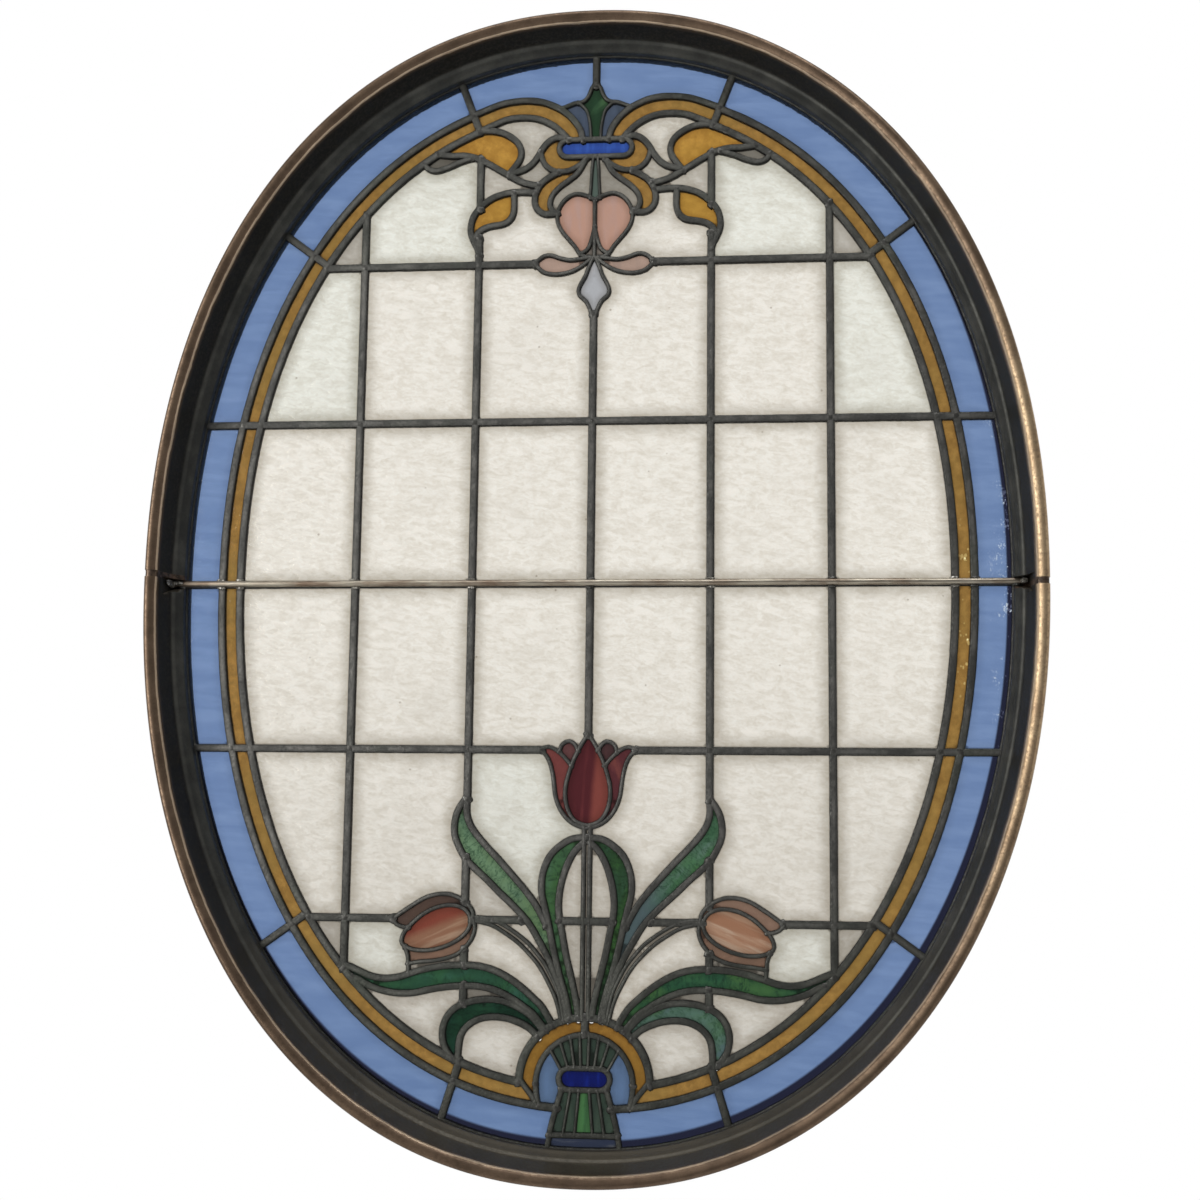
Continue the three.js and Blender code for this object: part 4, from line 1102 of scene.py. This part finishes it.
def make_panes():
    flat, panes = pane_meshes()
    wanted = []
    for name, tint, (x, z) in SEEDS:
        if x > 0:
            wanted.append((f"{name}_right", name, "right", tint, (x, z)))
            wanted.append((f"{name}_left", name, "left", LEFT_TINTS.get(name, tint), (-x, z)))
        else:
            wanted.append((name, name, "", tint, (x, z)))
    fillers = 0
    slivers = []
    for triangles in panes:
        if area_of(flat, triangles) < SMALLEST_PANE:
            slivers += triangles
            continue
        found = [w for w in wanted if holds(flat, triangles, w[4])]
        if found:
            full, name, side, tint, _ = found[0]
            wanted.remove(found[0])
            nodes = cad_nodes(name, side)
        else:
            fillers += 1
            full, tint, nodes = f"clear_filler_{fillers}", "clear", []
        tone = 1.0 if any(n.startswith(COOL_PANES) for n in nodes) else 0.1
        dim = max([share for point, share in DIM_PANES if holds(flat, triangles, point)], default=0.0)
        made = pane_piece(full, flat, triangles, *TINTS[tint], tone, dim)
        if nodes:
            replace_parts(made, *nodes)
    pane_piece("solder_in_gaps", flat, slivers, SOLDER, "lead_came", 0.0, 0.0)


make_panes()


# Lead cames

FLAT_CROWN = [(1.0, 2.1), (0.97, 2.5), (0.86, 2.8), (0.62, 2.96), (0.25, 3.05)]
ROUND_CROWN = [(1.0, 2.1), (0.93, 2.45), (0.76, 2.8), (0.5, 3.05), (0.18, 3.18)]


def came_section(width):
    half = ROUND_CROWN if width < 4.0 else FLAT_CROWN
    front = [(-u, h) for u, h in half] + [(u, h) for u, h in half[::-1]]
    return front + [(u, -h) for u, h in front[::-1]]


def bent_came(line, number):
    """One came: a straight bar of its section, bent along its centre line."""
    points = line["points"]
    steps = len(points) - 1
    form = drawn_bar(came_section(line["width"]), steps, line["closed"], "across")
    across = form.verts.layers.float["across"]
    before = np.concatenate([points[-2:-1] if line["closed"] else points[:1], points[:-1]])
    after = np.concatenate([points[1:], points[1:2] if line["closed"] else points[-1:]])
    along = after - before
    along = (along / np.maximum(np.hypot(*along.T), 1e-9)[:, None]).tolist()
    ways = np.concatenate([[0], np.cumsum(np.hypot(*np.diff(points, axis=0).T))]).tolist()
    points = points.tolist()
    wide, tall = [], []
    for way in ways:
        swell = 1 + 0.07 * soft(way / 11, number * 3.7) + 0.04 * soft(way / 3, number, 2.0)
        wide.append(line["width"] / 2 * swell)
        tall.append(1 + 0.03 * soft(way / 9, number * 5.1, 4.0))
    lift = 0.05 * math.sin(number * 2.4)
    for vertex in form.verts:
        u, station, h = vertex.co
        i = round(station)
        if line["closed"]:
            i %= steps
        x = points[i][0] - along[i][1] * u * wide[i]
        z = points[i][1] + along[i][0] * u * wide[i]
        vertex.co = place(x, z, h * tall[i] + (lift if h > 0 else -lift))
        vertex[across] = abs(u)
    if line["closed"]:
        bmesh.ops.remove_doubles(form, verts=form.verts[:], dist=1e-7)
    return form


for group in GROUPS:
    net = labelled("across")
    for number, line in enumerate(CAMES):
        if line["group"] == group:
            joined(net, bent_came(line, number))
    cames = piece(f"lead_{group}_cames", net, LEAD, 35)
    if group == "grid":
        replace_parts(cames, "lead_lattice")


# Solder on the joints


def joints():
    """Where cames end on each other or cross."""
    spots = []
    coarse = [resampled(line["points"], 6.0) for line in CAMES]
    for i, first in enumerate(coarse):
        a, b = first[:-1], first[1:]
        for j in range(i + 1, len(coarse)):
            second = coarse[j]
            if (first.min(0) > second.max(0) + 1).any() or (second.min(0) > first.max(0) + 1).any():
                continue
            c, d = second[:-1], second[1:]
            r = (b - a)[:, None, :]
            s = (d - c)[None, :, :]
            q = c[None, :, :] - a[:, None, :]
            cross = r[..., 0] * s[..., 1] - r[..., 1] * s[..., 0]
            safe = np.where(np.abs(cross) < 1e-9, 1e9, cross)
            t = (q[..., 0] * s[..., 1] - q[..., 1] * s[..., 0]) / safe
            u = (q[..., 0] * r[..., 1] - q[..., 1] * r[..., 0]) / safe
            hit = (t >= 0) & (t <= 1) & (u >= 0) & (u <= 1)
            for m, n in zip(*np.nonzero(hit)):
                spot = a[m] + (b - a)[m] * t[m, n]
                spots.append((spot[0], spot[1], min(CAMES[i]["width"], CAMES[j]["width"])))
    for line in CAMES:
        if not line["closed"]:
            for x, z in (line["points"][0], line["points"][-1]):
                spots.append((x, z, line["width"]))
    merged = []
    for x, z, width in sorted(spots, key=lambda s: -s[2]):
        if all(math.hypot(x - p[0], z - p[1]) > 4.2 for p in merged):
            merged.append((x, z, width))
    return merged


DOME_BASE = 2.15
DOME_RISE = 1.07


def solder_dome(form, x, z, reach, face, tilt):
    """A low dome of solder over a joint, on the front or the back of the cames."""
    for vertex in bmesh.ops.create_icosphere(form, subdivisions=2, radius=1.0)["verts"]:
        angle = math.atan2(vertex.co.y, vertex.co.x)
        wobble = reach * (1 + 0.13 * math.sin(2 * angle + tilt) + 0.09 * math.sin(5 * angle - 2 * tilt))
        swell = math.copysign(abs(vertex.co.z) ** 0.7, vertex.co.z)
        px, pz = x + vertex.co.x * wobble, z + vertex.co.y * wobble
        rough = 0.08 * soft(px / 1.6, pz / 1.6, 7.0)
        vertex.co = place(px, pz, face * (DOME_BASE + DOME_RISE * swell + rough))


joint_solder = bmesh.new()
for number, (x, z, width) in enumerate(joints()):
    for face in (1, -1):
        solder_dome(joint_solder, x, z, width * 0.54 + 0.6, face, number * 1.7)
piece("solder_joints", joint_solder, SOLDER, 60)


# Saddle bar, its solder, and the frame


BAR_STEPS = 240


def make_bar():
    turns = [2 * math.pi * k / 24 for k in range(24)]
    section = [(BAR_RADIUS * math.cos(turn), BAR_RADIUS * math.sin(turn)) for turn in turns]
    form = drawn_bar(section, BAR_STEPS, False)
    for vertex in form.verts:
        u, station, h = vertex.co
        x = BAR_END * (2 * station / BAR_STEPS - 1)
        full = 1 + 0.02 * soft(x / 12, 8.0)
        if min(station, BAR_STEPS - station) < 0.5:
            full *= 0.86
        vertex.co = place(x, -DROP + 0.25 * soft(x / 60, 1.0) + u * full,
                          BAR_HEIGHT + 0.15 * soft(x / 45, 5.0) + h * full)
    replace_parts(piece("saddle_bar_rod", form, ROD, 50), "saddle_bar")


def lump(form, x, z, h, size, seed):
    """One irregular bead of solder, flattened against what it sits on."""
    for vertex in bmesh.ops.create_icosphere(form, subdivisions=3, radius=1.0)["verts"]:
        way = vertex.co.copy()
        bulge = 1 + 0.35 * noise.noise(way * 1.6 + Vector((seed, 0, 0)))
        across, up, out = (axis * span * bulge for axis, span in zip(way, size))
        vertex.co = place(x + across, z + up, h + out)


def make_bar_solder():
    dull, bright = bmesh.new(), bmesh.new()
    ring_x = [half_width(FACE + FIELD, -DROP), half_width(FACE + BORDER, -DROP)]
    spots = [0.0, COLUMN, -COLUMN, 2 * COLUMN, -2 * COLUMN] + ring_x + [-x for x in ring_x]
    for number, x in enumerate(spots):
        for side in (1, -1):
            off = 0.8 * math.sin(number * 2.1 + side)
            lump(bright if number % 3 else dull, x + off, -DROP + side * 3.1, 4.1, (3.3, 1.3, 1.5),
                 number * 3.3 + side)
    for form, x, off, h, size, seed in ((bright, -335.0, -0.6, 14.0, (2.2, 2.9, 9.0), 39),
                                        (bright, -331.0, 0.6, 9.0, (3.4, 2.0, 2.4), 49),
                                        (dull, -328.0, -2.9, 6.6, (3.0, 1.2, 1.5), 59),
                                        (bright, 333.0, -0.2, 9.0, (3.0, 2.2, 4.0), 41),
                                        (dull, 327.0, -2.8, 6.8, (3.2, 1.3, 1.6), 61)):
        lump(form, x, -DROP + off, h, size, seed)
    piece("saddle_bar_solder", bright, BRIGHT_SOLDER, 60)
    piece("saddle_bar_dull_solder", dull, SOLDER, 60)


make_bar()
make_bar_solder()

# Inset from the outer edge, and height above the glass, from the back flange round the front to the groove
PROFILE = [(0, -10), (0, 0), (0, 12), (0, 25), (0, 36.2), (0.25, 38.3), (0.9, 39.9), (2.0, 40.8), (3.6, 41.0),
           (5.4, 40.6), (7.2, 39.9), (8.6, 39.0), (9.4, 38.1), (9.8, 36.9), (10.4, 34.6), (11.1, 31.8),
           (11.9, 28.8), (12.9, 25.6), (13.8, 22.6), (14.6, 20.2), (15.2, 18.6), (15.8, 17.6), (16.6, 17.0),
           (17.4, 16.5), (18.1, 15.5), (18.9, 14.1), (19.9, 12.5), (20.9, 11.1), (21.9, 9.9), (22.35, 9.2),
           (22.5, 8.6), (22.5, 6.0), (22.5, 3.3), (17.2, 3.3), (17.2, -3.3), (22.5, -3.3), (22.5, -10)]
SLOT_INSET = 11.5


def frame_part(bearings, shrink=0.0):
    """A straight bar of the profile, bent along the oval through the given bearings."""
    form = drawn_bar(PROFILE, len(bearings) - 1, False, "inset")
    label = form.verts.layers.float["inset"]
    for vertex in form.verts:
        inset, station, height = vertex.co
        bearing = bearings[round(station)]
        low = height - shrink if height > 4 else height
        if inset > SLOT_INSET:
            low = min(low, slot_height(oval_at(FACE, bearing)[1] + DROP))
        x, z = oval_at(inset + (shrink if inset < 10 else 0), bearing)
        vertex.co = place(x, z, low)
        vertex[label] = inset
    return form


def slot_height(off):
    """Height of the notch that the bar lies in, at a distance above the bar: steep above it, sloped below."""
    if off > 0:
        return SLOT_FLOOR + 400 * max(0, off - SLOT_TOP)
    return SLOT_FLOOR + 3.6 * max(0, SLOT_FOOT - off)


def bearing_of_z(z):
    return math.degrees(math.atan2(z, half_width(FACE, z)))


def slotted(start, end, count):
    """Even bearings, with close pairs at the edges of the slots that the bar lies in."""
    bearings = [start + (end - start) * i / count for i in range(count + 1)]
    for off in SLOT_EDGES:
        right = bearing_of_z(off - DROP)
        bearings += [b for b in (right, 180 - right, -180 - right) if start < b < end]
    return sorted(bearings)


def frame_piece(name, material, ranges, shrink=0.0):
    form = labelled("inset")
    for start, end, count in ranges:
        joined(form, frame_part(slotted(start, end, count), shrink))
    return piece(name, form, material, 38)


right_top, right_foot = (bearing_of_z(RIGHT_JOINT + off) for off in (JOINT_HALF, -JOINT_HALF))
left_top, left_foot = (bearing_of_z(LEFT_JOINT + off) for off in (JOINT_HALF, -JOINT_HALF))
upper = frame_piece("upper_frame_moulding", BRONZE, [(right_top, 180 - left_top, 220)])
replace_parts(upper, "frame_upper")
lower = frame_piece("lower_frame_moulding", BRONZE, [(-180 - left_foot, right_foot, 220)])
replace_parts(lower, "frame_lower")
frame_piece("frame_joint_solder", BROWN_SOLDER, [(right_foot - 0.02, right_top + 0.02, 6),
                                                 (180 - left_top - 0.02, 180 - left_foot + 0.02, 6)], 0.5)


# Stage, light and camera


def stage():
    form = bmesh.new()
    bmesh.ops.create_grid(form, x_segments=8, y_segments=8, size=4.0)
    bmesh.ops.translate(form, verts=form.verts[:], vec=(0, 0, -1.3))
    mesh = bpy.data.meshes.new("floor")
    form.to_mesh(mesh)
    form.free()
    floor = bpy.data.objects.new("floor", mesh)
    bpy.context.scene.collection.objects.link(floor)
    pale, _ = wired("pale_floor", {"Base Color": (0.85, 0.85, 0.84), "Roughness": 0.8})
    mesh.materials.append(pale)


def world():
    """Bright daylight behind the window and a dimmer room in front of it."""
    made = bpy.data.worlds.new("daylight")
    bpy.context.scene.world = made
    made.use_nodes = True
    tree = made.node_tree
    background = tree.nodes["Background"]
    where = node(tree, "ShaderNodeTexCoord")
    parts = node(tree, "ShaderNodeSeparateXYZ", {"Vector": where.outputs["Generated"]})
    strength = spread(tree, parts.outputs["Y"], -0.5, 0.3, 0.14, 1.0)
    background.inputs["Color"].default_value = (1, 1, 1, 1)
    link(tree, strength, background.inputs["Strength"])


def area_light(name, where, target, size, power, colour):
    data = bpy.data.lights.new(name, "AREA")
    data.shape = "RECTANGLE"
    data.size, data.size_y = size
    data.energy = power
    data.color = colour
    light = bpy.data.objects.new(name, data)
    bpy.context.scene.collection.objects.link(light)
    light.location = where
    light.rotation_euler = (Vector(target) - Vector(where)).to_track_quat("-Z", "Y").to_euler()


def camera():
    yaw, pitch, roll = math.radians(-6.050), math.radians(7.971), math.radians(0.669)
    ahead = Vector((math.sin(yaw) * math.cos(pitch), math.cos(yaw) * math.cos(pitch), math.sin(pitch)))
    level = Vector((math.cos(yaw), -math.sin(yaw), 0))
    upward = level.cross(ahead)
    right = level * math.cos(roll) + upward * math.sin(roll)
    up = upward * math.cos(roll) - level * math.sin(roll)
    data = bpy.data.cameras.new("camera")
    data.sensor_width = 36
    data.lens = 52.5
    made = bpy.data.objects.new("camera", data)
    bpy.context.scene.collection.objects.link(made)
    turn = Matrix((right, up, -ahead)).transposed().to_4x4()
    made.matrix_world = Matrix.Translation((0.1508, -1.3605, (CENTRE_Z - 206.12) / 1000)) @ turn
    bpy.context.scene.camera = made


stage()
world()
centre = (0, 0, CENTRE_Z / 1000)
area_light("left_window", (-1.25, -1.3, 0.6), centre, (0.8, 1.4), 24, (1, 0.98, 0.94))
area_light("top_fill", (0.1, -0.9, 2.0), centre, (1.6, 0.6), 14, (1, 1, 1))
area_light("right_fill", (1.6, -1.0, 0.3), centre, (0.8, 1.2), 3, (1, 0.96, 0.9))
camera()
bpy.context.scene.view_settings.view_transform = "Standard"
